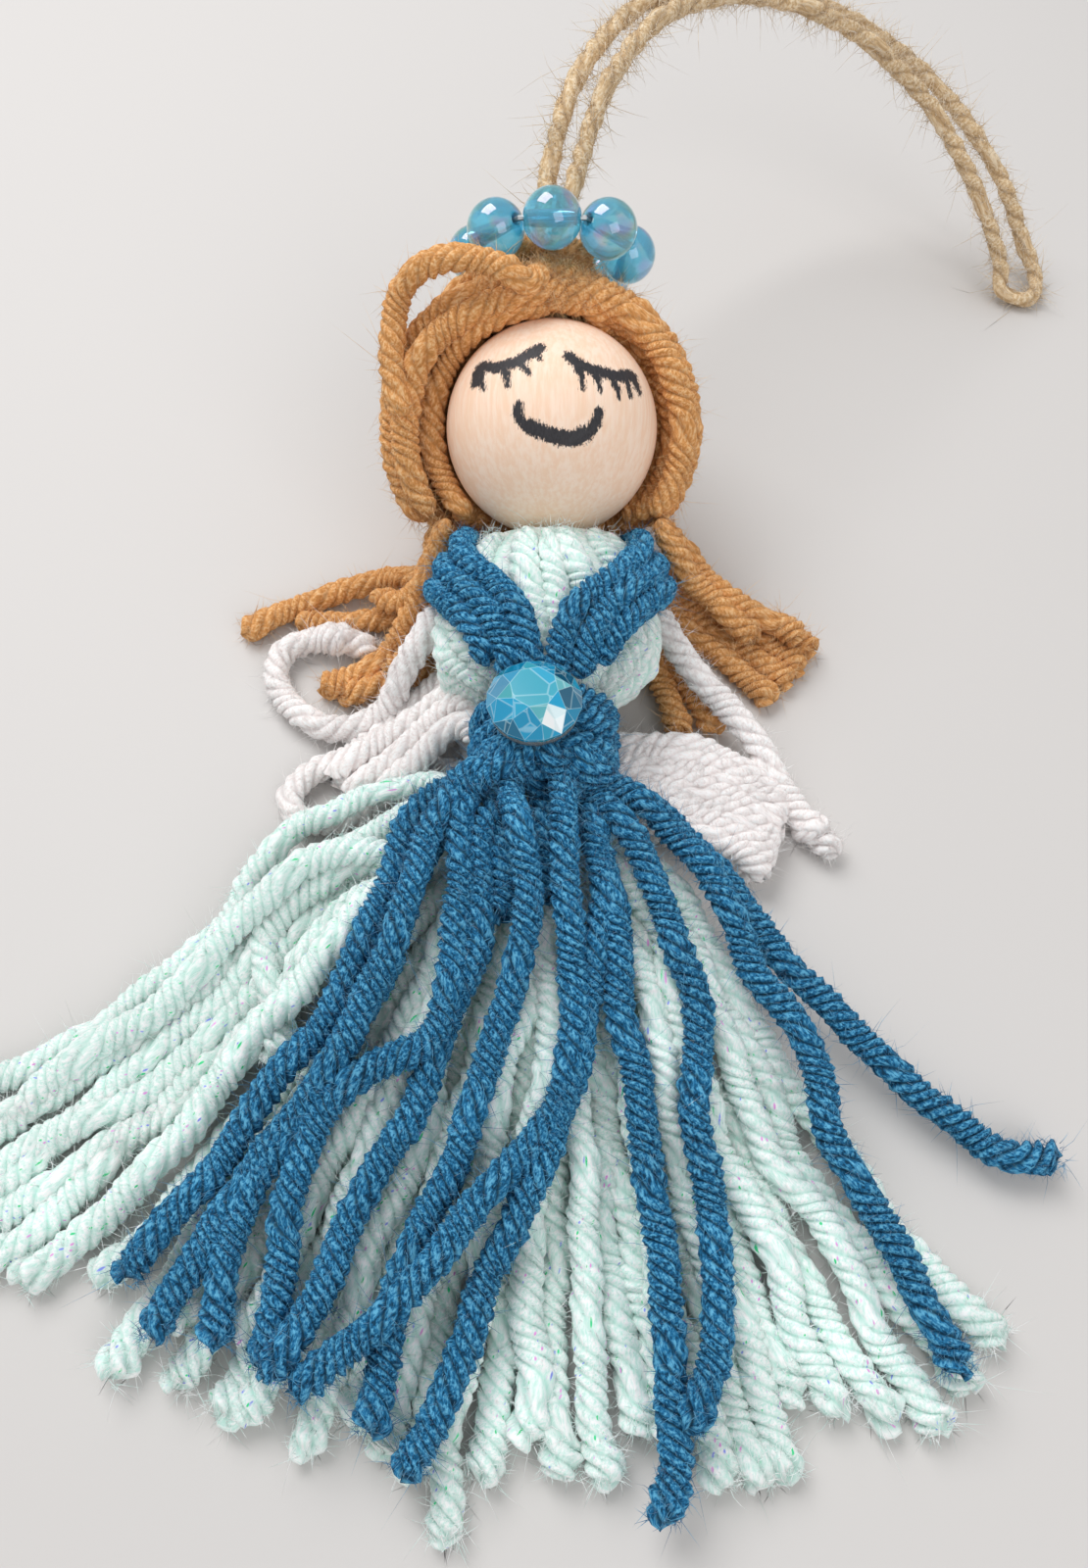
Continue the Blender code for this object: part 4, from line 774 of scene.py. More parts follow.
def brilliant_faces(sides):
    """Corner lists of a cut front: base, wall, girdle triangles, kites, stars and table.

    Points come in rows: base and girdle with twice the sides, then shoulder and table rows."""
    double = 2 * sides
    girdle, shoulder, table = double, 2 * double, 2 * double + sides
    faces = [list(range(double))[::-1]]
    for k in range(double):
        faces.append([k, (k + 1) % double, girdle + (k + 1) % double, girdle + k])
    for k in range(sides):
        following = (k + 1) % sides
        before, here, after = girdle + (2 * k - 1) % double, girdle + 2 * k, girdle + 2 * k + 1
        faces.append([before, here, shoulder + k])
        faces.append([here, after, shoulder + k])
        faces.append([after, shoulder + following, table + k, shoulder + k])
        faces.append([shoulder + following, table + following, table + k])
    faces.append([table + k for k in range(sides)])
    return faces


def bordered(points, faces, border):
    """Each flat face with a thin rim of quads round an inset copy of it.

    Also gives, for each new face, whether it is a rim and the number of the face it came from."""
    points = list(points)
    made, rim, numbers = [], [], []
    for number, face in enumerate(faces):
        corners = np.array([points[k] for k in face])
        middle = corners.mean(0)
        away = np.linalg.norm(corners - middle, axis=1, keepdims=True)
        inner = len(points) + np.arange(len(face))
        points.extend(corners + (middle - corners) * np.minimum(border / away, 0.4))
        made.append(list(inner))
        for k in range(len(face)):
            after = (k + 1) % len(face)
            made.append([face[k], face[after], inner[after], inner[k]])
        rim += [0] + [1] * len(face)
        numbers += [number] * (1 + len(face))
    return np.array(points), made, rim, np.array(numbers)


def painted_facet_reflections(number):
    """Painted reflection tone of each facet, 0 to 1: walls and table plain, the cut ones unlike
    each other, one kite a painted white highlight.
    """
    kind, place = (number - 1 - 2 * STONE_SIDES) % 4, (number - 1 - 2 * STONE_SIDES) // 4
    tone = np.choose(kind, [
        0.08 + 0.40 * (place * 0.618 % 1), 0.50 - 0.40 * (place * 0.382 % 1),
        0.04 + 0.36 * (place * 0.73 % 1), 0.28 + 0.40 * (place * 0.57 % 1)])
    flat = np.where(number == number.max(), 0.50, tone)
    flat = np.where(number <= 2 * STONE_SIDES, 0.45, flat)
    # one kite facet is a painted white highlight
    return np.where((kind == 2) & (place == 6), 1.05, flat)


def facet_material(name, edge_highlight_share):
    """Clear acrylic over mirror foil, with painted reflections: each facet shows shards of deep,
    bright and pale aqua, with painted highlight lines where the foil's planes meet; the polished
    edges get a painted highlight by the edge highlight share."""
    made, tree, shader, place = new_material(name)
    # each facet's painted reflection tone
    facet = added(tree, "ShaderNodeAttribute", {}, attribute_name="facet_reflection_tone").outputs["Fac"]
    moved = added(tree, "ShaderNodeVectorMath", {0: place, 1: facet}, operation="ADD").outputs[0]
    shards = {"Vector": moved, "Scale": 250.0}
    cell = added(tree, "ShaderNodeTexVoronoi", shards).outputs["Color"]
    rims = added(
        tree, "ShaderNodeTexVoronoi", shards, feature="DISTANCE_TO_EDGE").outputs["Distance"]
    tone = plus(tree, times(tree, facet, 0.84), times(tree, split(tree, cell)[0], 0.16))
    shade = colour_ramp(tree, tone, (
        (0.05, "#033F58"), (0.20, "#067CA4"), (0.40, "#0AA0CE"), (0.60, "#42A3AE"),
        (0.80, "#86D0DC"), (0.97, "#FFFFFF")))
    # painted highlight lines along the shard edges
    line = times(tree, ranged(tree, rims, 0.035, 0.012), 0.28)
    shade = mixed(tree, line, shade, colour("#D6F6FB"))
    # the polished edges' painted highlight
    if edge_highlight_share:
        shade = mixed(tree, edge_highlight_share, shade, colour("#CDF4FB"))
    fed(tree, shader, {
        "Base Color": shade, "Roughness": 0.12, "Coat Weight": 0.5, "Coat Roughness": 0.02,
        "Coat IOR": 1.55})
    return made


def glue_material():
    """Clear glue with faint flow marks in its tint."""
    made, tree, shader, place = new_material("clear_glue")
    tone = ranged(tree, noise(tree, place, 260.0, 2.0), 0.35, 0.65, 0.86, 1.1)
    fed(tree, shader, {
        "Base Color": scaled(tree, colour("#DDE6E8")[:3], tone), "Roughness": 0.15, "IOR": 1.45,
        "Transmission Weight": 0.85})
    return made


def turned_form(profile, centre, axis, columns):
    """A profile of (radius, height) points turned once round an axis through a centre.

    A point is centre + axis * height + radius * (first side * cos + second side * sin)."""
    profile = np.asarray(profile, float)
    axis = unit(np.asarray(axis, float))
    first_side = unit(np.cross(axis, [0.13, 0.21, 0.97] if abs(axis[2]) < 0.9 else [0, 1.0, 0]))
    second_side = np.cross(axis, first_side)
    turn = np.linspace(0, FULL_TURN, columns, endpoint=False)[:, None]
    around = first_side * np.cos(turn) + second_side * np.sin(turn)
    radius, height = profile[:, 0, None, None], profile[:, 1, None, None]
    rings = np.asarray(centre) + axis * height + around[None] * radius
    grid = np.arange(len(profile) * columns).reshape(len(profile), columns)
    after = np.roll(grid, -1, axis=1)
    following = np.roll(grid, -1, axis=0)
    quads = np.stack([grid, after, np.roll(after, -1, axis=0), following], -1).reshape(-1, 4)
    uv = np.stack([np.zeros_like(quads), quads // columns], -1).astype(float)
    return rings.reshape(-1, 3), quads, uv


rows = []
for count, share, height, turned in STONE_ROWS:
    angle = FULL_TURN * (np.arange(count) + turned) / count + 0.2
    radius = STONE_RADIUS * share
    rows.append(np.stack([
        STONE_X + radius * np.cos(angle), radius * np.sin(angle),
        STONE_BASE + height + 0 * angle], 1))
points, faces, rim, numbers = bordered(np.vstack(rows), brilliant_faces(STONE_SIDES), STONE_EDGE)
stone_mesh = bpy.data.meshes.new("gem")
stone_mesh.from_pydata(points.tolist(), [], faces)
stone_mesh.materials.append(facet_material("gem_acrylic", 0))
# the polished edges take a paler painted highlight
stone_mesh.materials.append(facet_material("gem_edge_highlights", 0.30))
stone_mesh.polygons.foreach_set("material_index", rim)
# painted reflection tone of each facet
tones = stone_mesh.attributes.new("facet_reflection_tone", "FLOAT", "FACE")
tones.data.foreach_set("value", painted_facet_reflections(numbers).astype(np.float32))
stone = bpy.data.objects.new("gem", stone_mesh)
bpy.context.scene.collection.objects.link(stone)
settled(stone, "doll", "stone", "stone")

bend = np.linspace(0, math.pi / 2, 7)
glue_edge = np.stack([GLUE_RADIUS + GLUE_EDGE * np.cos(bend), GLUE_EDGE * np.sin(bend)], 1)
stacked_piece("glue_drop", [turned_form(
    [(0.00002, 0.0), *glue_edge, (0.00002, GLUE_EDGE)], (STONE_X, 0, STONE_FOOT), UP, 40,
)], glue_material(), "doll", "glue", "stone_glue")

# ---------------------------------------------------------------- Head bead
# A turned ball of pale unvarnished wood with a drilled bore. The closed eyes and the smile are
# drawn on it with a charcoal marker, whose edges have bled into the grain.

BEAD_COLUMNS = 260
BEAD_ROWS = 170
BORE_RADIUS = 0.0035
FAR_FROM_INK = 5.0
INK_STROKES = (
    # half widths at the first and last end, then points across and toward the crown, all mm
    (0.72, 0.85, (-10.3, 3.2), (-10.1, 4.6), (-9.4, 5.5), (-7.7, 4.7), (-5.1, 4.9), (-2.8, 6.1),
     (-1.7, 6.8)),
    (0.7, 0.3, (-9.5, 4.8), (-9.6, 3.3), (-9.1, 1.9)),
    (0.68, 0.3, (-6.7, 4.5), (-6.0, 3.0), (-5.9, 1.6)),
    (0.66, 0.3, (-4.4, 4.9), (-3.6, 3.9), (-3.0, 3.0)),
    (0.6, 0.3, (-2.6, 6.1), (-1.9, 5.6), (-1.7, 5.0)),
    (0.78, 0.88, (2.2, 5.6), (2.9, 4.9), (3.9, 4.4), (5.9, 3.8), (8.6, 3.7), (10.3, 4.4),
     (10.8, 4.5)),
    (0.66, 0.28, (3.3, 4.2), (3.8, 2.6), (4.0, 1.0)),
    (0.64, 0.28, (5.7, 3.4), (6.1, 2.2), (6.3, 1.0)),
    (0.62, 0.28, (8.0, 3.3), (8.6, 1.9), (8.9, 0.5)),
    (0.6, 0.28, (9.8, 3.8), (10.3, 2.4), (10.6, 1.2)),
    (0.66, 0.3, (10.7, 4.4), (11.5, 3.3), (11.9, 2.2)),
    (0.68, 0.72, (-4.5, -1.1), (-4.4, -2.5), (-2.9, -4.0), (0.1, -5.1), (2.6, -5.4), (4.6, -4.6),
     (5.8, -3.0), (6.1, -1.8)),
    (0.98, 0.98, (-3.0, -3.8), (0.1, -5.0), (2.6, -5.3), (4.3, -4.6)),
)


def ink_distance(points):
    """Distance, mm, from each point of the bead to the nearest stroke's edge; < 0 in the ink."""
    local = (points - HEAD_CENTRE) * 1000
    front = local @ FACE_AXIS > 0
    flat = np.stack([local @ ACROSS, local @ BORE_AXIS], 1)
    best = np.full(len(points), FAR_FROM_INK)
    for first, last, *route in INK_STROKES:
        knots = smooth_line(np.column_stack([route, np.zeros(len(route))]), step=0.5)[:, :2]
        halves = np.linspace(first, last, len(knots))
        for a, b, near, far in zip(knots, knots[1:], halves, halves[1:]):
            leg = b - a
            share = np.clip((flat - a) @ leg / (leg @ leg), 0, 1)
            half = near + (far - near) * share
            best = np.minimum(best, np.linalg.norm(flat - a - share[:, None] * leg, axis=1) - half)
    return np.where(front, best, FAR_FROM_INK)


def mapped(tree, place, **inputs):
    """A place turned or stretched."""
    return added(tree, "ShaderNodeMapping", {"Vector": place, **inputs}).outputs[0]


def wood_material():
    """Pale turned wood: fine growth rings across the bore, pores along it, and the marker's ink."""
    made, tree, shader, place = new_material("bead_wood")
    turned = mapped(tree, place, Rotation=(math.pi / 2 - HEAD_LEAN, 0.0, 0.0))
    pores = noise(tree, mapped(tree, turned, Scale=(1500.0, 1500.0, 170.0)), 1.0, 4.0, 0.6)
    rings = added(tree, "ShaderNodeTexWave", {
        "Vector": turned, "Scale": 60.0, "Distortion": 2.0, "Detail": 1.0, "Detail Scale": 1.0,
    }, wave_type="BANDS", bands_direction="X").outputs["Fac"]
    grain = plus(tree, times(tree, pores, 0.9), times(tree, rings, 0.06))
    wood = mixed(tree, ranged(tree, grain, 0.34, 0.62), colour("#FAD6BA"), colour("#FFE4CF"))
    ink = added(tree, "ShaderNodeAttribute", {}, attribute_name="ink_distance").outputs["Fac"]
    bleed = noise(tree, mapped(tree, turned, Scale=(4200.0, 4200.0, 1100.0)), 1.0, 3.0, 0.7)
    edge = plus(tree, ink, times(tree, minus(tree, bleed, 0.5), 1.9))
    charcoal = mixed(tree, bleed, colour("#1F1E21"), colour("#454347"))
    raised = added(tree, "ShaderNodeBump", {"Height": grain, "Strength": 0.12, "Distance": 0.0002})
    fed(tree, shader, {
        "Base Color": mixed(tree, ranged(tree, edge, 0.18, -0.14), wood, charcoal),
        "Roughness": ranged(tree, grain, 0.3, 0.7, 0.62, 0.5), "Normal": raised.outputs[0],
        "Specular IOR Level": 0.3, "Subsurface Weight": 0.06,
        "Subsurface Radius": (0.003, 0.0015, 0.001)})
    return made


def ball_profile(radius, bore, rows):
    """A ball's outside from one bore mouth to the other, then back down the bore's wall."""
    mouth = math.asin(bore / radius)
    bend = np.linspace(math.pi - mouth, mouth, rows)
    outside = np.stack([radius * np.sin(bend), radius * np.cos(bend)], 1)
    lip = radius * 0.02
    walls = np.linspace(math.cos(mouth) * radius - lip, -math.cos(mouth) * radius + lip, 5)
    return np.vstack([outside, np.stack([np.full(5, bore - lip * 0.4), walls], 1)])


bead_form = turned_form(
    ball_profile(HEAD_RADIUS, BORE_RADIUS, BEAD_ROWS), HEAD_CENTRE, BORE_AXIS, BEAD_COLUMNS)
bead = stacked_piece("bead_head", [bead_form], wood_material(), "head", "head_wood", "head_bead")
ink = bead.data.attributes.new("ink_distance", "FLOAT", "POINT")
ink.data.foreach_set("value", ink_distance(bead_form[0]).astype(np.float32))

# ---------------------------------------------------------------- Hair over the head
# Caramel yarn laid over the bead from the twine to the nape, in two layers a side, parted in the
# middle and open round the face like a hood.

HAIR_YARN_DIAMETER = 0.0034
RIM_LEAN = math.radians(43)
RIM_AXIS = np.array([0, -math.cos(RIM_LEAN), math.sin(RIM_LEAN)])
RIM_ANGLE = math.radians(80)
HEM_DROP = 0.0120
HAIR_PITCH = 0.0076
HAIR_SWELL = ((0, 0.45), (0.10, 0.70), (0.25, 0.92), (0.6, 1.04), (0.9, 0.95), (1, 0.85))
PART_STRANDS = (
    # depth over the bead and polar angle of the short strands that close the part
    (0.0021, 0.46), (0.0046, 0.36),
)
PART_STRAND_DIAMETER = 0.0040
PART_SWELL = ((0, 0.8), (0.5, 1), (1, 0.7))

# the yarn's own colour, then its painted highlight and its painted shade
HAIR_YARN = yarn_material(
    "hair_yarn", "#DC9D5E", "#F3CB98", "#9A6229", painted_shade_share=0.48, painted_highlight_share=0.8, bump=0.45,
    sheen=0.12)
HAIR_FUZZ = fuzz_material("hair_fibre", "#F2CC98", "#CD9657")


def hair_line(radius, share, side, crossing=0.0, dip=0.0):
    """A strand's line at a radius from the bead's middle: it goes down in equal parts of the polar
    angle, and stays at its share of the way from the face opening to the back parting. Its root
    rises into the gathering at the twine; crossing is how far, in radians, it starts over the
    part, and dip how much lower it lies near the crown."""
    gone = np.linspace(0, 1, 48)
    top = math.asin(0.0060 / radius)
    polar = top + (math.acos(-HEM_DROP / radius) - top) * gone
    lean = math.acos(BORE_AXIS @ RIM_AXIS)
    beyond = (math.cos(RIM_ANGLE) - np.cos(polar) * math.cos(lean)) / (
        np.sin(polar) * math.sin(lean))
    opening = np.arccos(np.clip(beyond, -1, 1))
    opening = np.maximum(opening, 0.0002 / (radius * np.sin(polar)))
    turn = opening + (math.pi - opening) * share - crossing * (1 - eased(gone / 0.4))
    around = FACE_AXIS * np.cos(turn)[:, None] + ACROSS * (side * np.sin(turn))[:, None]
    spokes = around * np.sin(polar)[:, None] + BORE_AXIS * np.cos(polar)[:, None]
    laid = HEAD_CENTRE + spokes * (radius - dip * (1 - eased((gone - 0.12) / 0.38)))[:, None]
    root = HEAD_CENTRE + around[:1] * 0.0032 + BORE_AXIS * (TUFT_FOOT + 0.0010)
    return np.vstack([root, laid])


hair_fuzz = {1: [], -1: []}
for label, side in (("right", 1), ("left", -1)):
    right = side > 0
    outer_radius = HAIR_OUTER_RADIUS - 0.0013 - 0.0015 * side
    forms = []
    for layer, (count, radius, size, first) in enumerate((
        (11, outer_radius, 0.0041, 0.02), (7, HAIR_INNER_RADIUS + 0.0020, 0.0038, 0.13),
    )):
        for k in range(count):
            share = first + (1 - first) * (k + 0.15 * math.sin(k * 2.7 + side)) / (count - 0.4)
            lift = 0.0004 * math.sin(k * 2.1 + side * 1.3 + layer)
            if layer == 0 and k == 0:
                lift -= 0.0012
            crossing = -0.12 * (k < 2) if right else 0.30 * (k < 3)
            dip = 0.0 if right or layer else 0.0025
            line = smooth_line(hair_line(radius + lift, share, side, crossing, dip)[::3])
            outward = unit(line - HEAD_CENTRE)
            line = wandering(
                line, outward, 0.0003, 500 + k + 40 * layer + 80 * right, quiet=0.008)
            forms.append(yarn_form(
                line, size + 0.0003 * math.sin(k * 1.7), outward, phase=k * 1.9 + side,
                pitch=HAIR_PITCH, swell=HAIR_SWELL))
            if layer == 0:
                hair_fuzz[side] += nap_forms(line, size / 2, outward, 600 + k + 40 * right)
                if k < 2:
                    hair_fuzz[side].append(fibre_forms(
                        line[6:30], size / 2, outward[6:30], 26000, 0.0013, 680 + k + side))
    for depth, polar in PART_STRANDS:
        sweep = np.linspace(-0.35, 1.15, 9)[:, None]
        around = FACE_AXIS * np.cos(sweep) + ACROSS * side * np.sin(sweep)
        line = smooth_line(HEAD_CENTRE + (HAIR_INNER_RADIUS + depth) * (
            BORE_AXIS * math.cos(polar) + math.sin(polar) * around))
        outward = unit(line - HEAD_CENTRE)
        forms.append(yarn_form(
            line, PART_STRAND_DIAMETER, outward, phase=side + polar, pitch=HAIR_PITCH,
            swell=PART_SWELL))
        hair_fuzz[side] += nap_forms(
            line, PART_STRAND_DIAMETER / 2, outward, 690 + side, dense=1.6)
    stacked_piece(
        "hair_side_" + label, forms, HAIR_YARN, "head", "hair_yarn", "hair_" + label)

# ---------------------------------------------------------------- Gathered hair at the twine
# The hair's strands are caught round the twine above the bead, as a small soft collar.
# It turns not quite twice and climbs as it goes.

COLLAR_TURNS = 1.9
COLLAR_POINTS = 120
turn = np.linspace(0, FULL_TURN * COLLAR_TURNS, COLLAR_POINTS)
climb = np.linspace(0.0012, TUFT_HEIGHT - 0.0011, COLLAR_POINTS)
around = FACE_AXIS * np.cos(turn)[:, None] + ACROSS * np.sin(turn)[:, None]
collar = (
    HEAD_CENTRE + around * (BORE_RADIUS + 0.0013) + BORE_AXIS * (TUFT_FOOT + climb)[:, None])
stacked_piece(
    "hair_gather", [yarn_form(collar, 0.0025, around, pitch=0.006)], HAIR_YARN, "head",
    "hair_yarn", "hair_tuft")
hair_fuzz[1] += nap_forms(collar, 0.0012, around, 640, dense=1.4)

# ---------------------------------------------------------------- Loose loop of hair
# One strand has slipped out of the drape at the top left and stands off as a loop. Another lies
# beside it, close to the bead.

LOOP_DIRECTIONS = np.array([
    (-0.03, 0.704, 0.573), (-0.07, 0.474, 0.679), (-0.14, 0.345, 0.746), (-0.26, 0.328, 0.844),
    (-0.43, 0.366, 0.870), (-0.58, 0.424, 0.830), (-0.75, 0.455, 0.731), (-0.86, 0.413, 0.599),
    (-0.905, 0.269, 0.461), (-0.90, 0.060, 0.350), (-0.84, -0.140, 0.236),
])
BESIDE_DIRECTIONS = np.array([
    (-0.30, 0.62, 0.74), (-0.46, 0.74, 0.66), (-0.62, 0.78, 0.52), (-0.77, 0.70, 0.40),
    (-0.88, 0.52, 0.28), (-0.95, 0.30, 0.20), (-0.97, 0.08, 0.12),
])
LOOP_FACING = np.array([-0.22, -0.61, 0.76])

loop_forms = []
for k, (radius, directions) in enumerate((
    (HAIR_OUTER_RADIUS + GAP + HAIR_YARN_DIAMETER / 2, LOOP_DIRECTIONS),
    (HAIR_OUTER_RADIUS - 0.0016, BESIDE_DIRECTIONS),
)):
    line = smooth_line(HEAD_CENTRE + radius * directions)
    loop_forms.append(yarn_form(
        line, HAIR_YARN_DIAMETER * 1.1, LOOP_FACING, phase=k * 2.0, pitch=0.0074))
    hair_fuzz[-1] += nap_forms(line, HAIR_YARN_DIAMETER / 2, LOOP_FACING, 650 + k)
stacked_piece("hair_stray_loop", loop_forms, HAIR_YARN, "head", "hair_yarn", "hair_loop")
for label, side in (("right", 1), ("left", -1)):
    stacked_piece("hair_fuzz_" + label, hair_fuzz[side], HAIR_FUZZ, "head", "hair_yarn")

# ---------------------------------------------------------------- Hair tails
# Below the nape the hair lies loose over the table: single strands to the left and gathered
# bundles to the right. Their cut ends are frayed.

TAIL_LENGTH = 0.0400
TAILS = {
    # for each strand: angle round the nape, share of the radius, then the route in shares of the
    # tail's length across and up the table, and of its root's height
    "hair_tail_left_1": (
        (-50, 0.8, (-0.16, -0.05, 0.66), (-0.45, -0.06, 0.05), (-0.84, -0.24, 0.0)),
    ),
    "hair_tail_left_2": (
        (-38, 0.78, (-0.17, -0.19, 0.0), (-0.42, -0.235, 0.0), (-0.7, -0.25, 0.0)),
    ),
    "hair_tail_left_3": (
        (-24, 0.78, (-0.1, -0.24, 1.0), (-0.25, -0.42, 1.76), (-0.42, -0.57, 1.76)),
    ),
    "hair_tail_left_4": (
        (-9, 0.78, (-0.14, -0.28, 0.18), (-0.36, -0.5, 0.18), (-0.72, -0.6, 0.18)),
    ),
    "hair_tail_right_fan": (
        (48, 0.8, (0.18, -0.08, 0.49), (0.4, -0.18, 0.0), (0.66, -0.35, 0.0)),
        (46, 0.8, (0.17, -0.12, 0.38), (0.37, -0.25, 0.0), (0.62, -0.44, 0.0)),
        (40, 0.78, (0.18, -0.15, 0.35), (0.39, -0.31, 0.0), (0.6, -0.52, 0.0)),
        (37, 0.78, (0.18, -0.18, 0.37), (0.37, -0.38, 0.0), (0.55, -0.6, 0.0)),
    ),
    "hair_tail_right_low": (
        (20, 0.78, (0.18, -0.28, 0.53), (0.32, -0.52, 0.53), (0.44, -0.78, 0.53)),
        (17, 0.78, (0.16, -0.3, 0.72), (0.26, -0.55, 0.72), (0.35, -0.8, 0.72)),
    ),
}
NAPE_STRANDS = {
    # more strands that come down from the hair's hem to the tails, mm
    "hair_tail_left_1": (
        ((-13.8, 35.4, 19.4), (-15.6, 33.0, 15.4), (-17.6, 31.6, 10.6), (-21.0, 31.2, 6.6),
         (-26.0, 32.0, 4.0)),
        ((-15.6, 36.8, 17.0), (-16.8, 34.0, 12.6), (-18.6, 30.0, 8.0), (-20.6, 26.4, 4.6),
         (-22.4, 23.6, 3.2)),
    ),
    "hair_tail_left_4": (
        ((-8.0, 40.0, 4.6), (-16.0, 31.0, 3.4), (-24.0, 22.8, 2.4), (-29.2, 19.2, 2.3),
         (-33.0, 18.0, 2.3)),
    ),
    "hair_tail_right_fan": (
        ((16.4, 35.4, 19.4), (18.4, 33.0, 15.6), (21.4, 31.0, 11.4), (26.0, 28.4, 8.0),
         (31.6, 24.8, 5.6)),
        ((17.2, 37.6, 17.0), (20.2, 35.6, 12.6), (25.0, 32.6, 8.8), (31.0, 29.0, 6.4),
         (37.6, 24.4, 5.4)),
    ),
}
NAPE_SWELL = ((0, 0.6), (0.12, 0.9), (0.25, 1.0), (1, 1))


def laid_route(root, length, floor, shares):
    """Points from a root down toward the table, by shares of a length and the root's height."""
    shares = np.asarray(shares)
    height = floor + (root[2] - floor) * shares[:, 2]
    return np.stack([root[0] + length * shares[:, 0], root[1] + length * shares[:, 1], height], 1)


def grounded(line, height):
    """A line held at or above a height."""
    return np.column_stack([line[:, :2], np.maximum(line[:, 2], height)])


tail_fuzz = []
for node, strands in TAILS.items():
    lines = []
    for degrees, reach, *shares in strands:
        angle = math.radians(degrees)
        back = ACROSS * math.sin(angle) - FACE_AXIS * math.cos(angle)
        root = HEAD_CENTRE - BORE_AXIS * (HEM_DROP + GAP) + back * HAIR_OUTER_RADIUS * reach
        lead = root - BORE_AXIS * HAIR_YARN_DIAMETER
        laid = laid_route(lead, TAIL_LENGTH, HAIR_YARN_DIAMETER / 2 + TABLE, shares)
        lines.append([root, lead, *laid])
    lines += [np.array(route) / 1000 for route in NAPE_STRANDS.get(node, ())]
    forms = []
    for k, route in enumerate(lines):
        line = wandering(smooth_line(route), UP, 0.0005, 700 + 2 * k + len(node) * 7)
        line = grounded(line, HAIR_YARN_DIAMETER / 2 + TABLE + 0.0001)
        forms.append(yarn_form(
            line, HAIR_YARN_DIAMETER * 1.12, UP, phase=k * 2.2, pitch=HAIR_PITCH, tip=1.28,
            open_tip=1.0, swell=EVEN if k < len(strands) else NAPE_SWELL))
        seed = 720 + 19 * k + len(tail_fuzz)
        tail_fuzz += nap_forms(line, HAIR_YARN_DIAMETER / 2, UP, seed)
        tail_fuzz.append(
            fibre_forms(line[-12:], HAIR_YARN_DIAMETER / 1.8, UP, 26000, 0.0014, seed + 1))
    name = node.replace("hair_tail", "tail")
    stacked_piece(name, forms, HAIR_YARN, "doll", "hair_yarn", node)
stacked_piece("tail_fuzz", tail_fuzz, HAIR_FUZZ, "doll", "hair_yarn")

# ---------------------------------------------------------------- Crown
# Eight clear aqua plastic beads with a rainbow coating whose sheen is painted into their colour,
# threaded on a wire ring that lies on the hair round the twine.

CROWN_BEADS = 8
CROWN_BEAD_RADIUS = 0.0040
CROWN_BEAD_BORE = 0.0008
CROWN_DISTANCE = HAIR_OUTER_RADIUS + GAP + 0.0008 + CROWN_BEAD_RADIUS
CROWN_RADIUS = (2 * CROWN_BEAD_RADIUS + GAP) / (2 * math.sin(math.pi / CROWN_BEADS))
CROWN_CENTRE = HEAD_CENTRE + BORE_AXIS * math.sqrt(CROWN_DISTANCE**2 - CROWN_RADIUS**2)


def pearl_material():
    """Clear aqua plastic with a rainbow coating: its sheen painted as drifts of pink, gold, green
    and violet.
    """
    made, tree, shader, place = new_material("crown_plastic")
    # painted iridescent sheen: rainbow drifts mixed into the base colour
    painted_sheen_hues = colour_ramp(tree, noise(tree, place, 340.0, 0.0), (
        (0.34, "#7FF0C4"), (0.46, "#F4E7A0"), (0.56, "#F59CCB"), (0.66, "#C79BF0")))
    painted_sheen_wash = ranged(tree, noise(tree, place, 230.0, 1.0), 0.52, 0.66, 0.0, 0.5)
    fed(tree, shader, {
        "Base Color": mixed(tree, painted_sheen_wash, colour("#6FD8F5"), painted_sheen_hues), "Roughness": 0.04,
        "Transmission Weight": 0.72, "Thin Film Thickness": 520.0, "Thin Film IOR": 1.6,
        "Coat Weight": 0.8, "Coat Roughness": 0.03})
    return made


def wire_material():
    """Fine steel wire with drawn streaks."""
    made, tree, shader, place = new_material("drawn_wire")
    streak = noise(tree, place, 1800.0)
    fed(tree, shader, {
        "Base Color": mixed(tree, streak, colour("#A9ADB0"), colour("#DADDDF")),
        "Roughness": ranged(tree, streak, 0.3, 0.7, 0.25, 0.45), "Metallic": 1.0})
    return made


crown_plastic = pearl_material()
for k in range(CROWN_BEADS):
    angle = FULL_TURN * k / CROWN_BEADS
    outward = ACROSS * math.cos(angle) + FACE_AXIS * math.sin(angle)
    stacked_piece(f"aqua_bead_{k + 1}", [turned_form(
        ball_profile(CROWN_BEAD_RADIUS, CROWN_BEAD_BORE, 30),
        CROWN_CENTRE + outward * CROWN_RADIUS, np.cross(BORE_AXIS, outward), 48,
    )], crown_plastic, "crown", "crown_bead", f"crown_bead_{k + 1}")
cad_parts["crown_wire"].data.materials[0] = wire_material()

# ---------------------------------------------------------------- Bow behind the waist
# Soft white yarn: a bow tied flat under the waist, whose loops lie on the table as wings.
# The right wing's loops stand on edge side by side, and the left wing's lie slantwise.

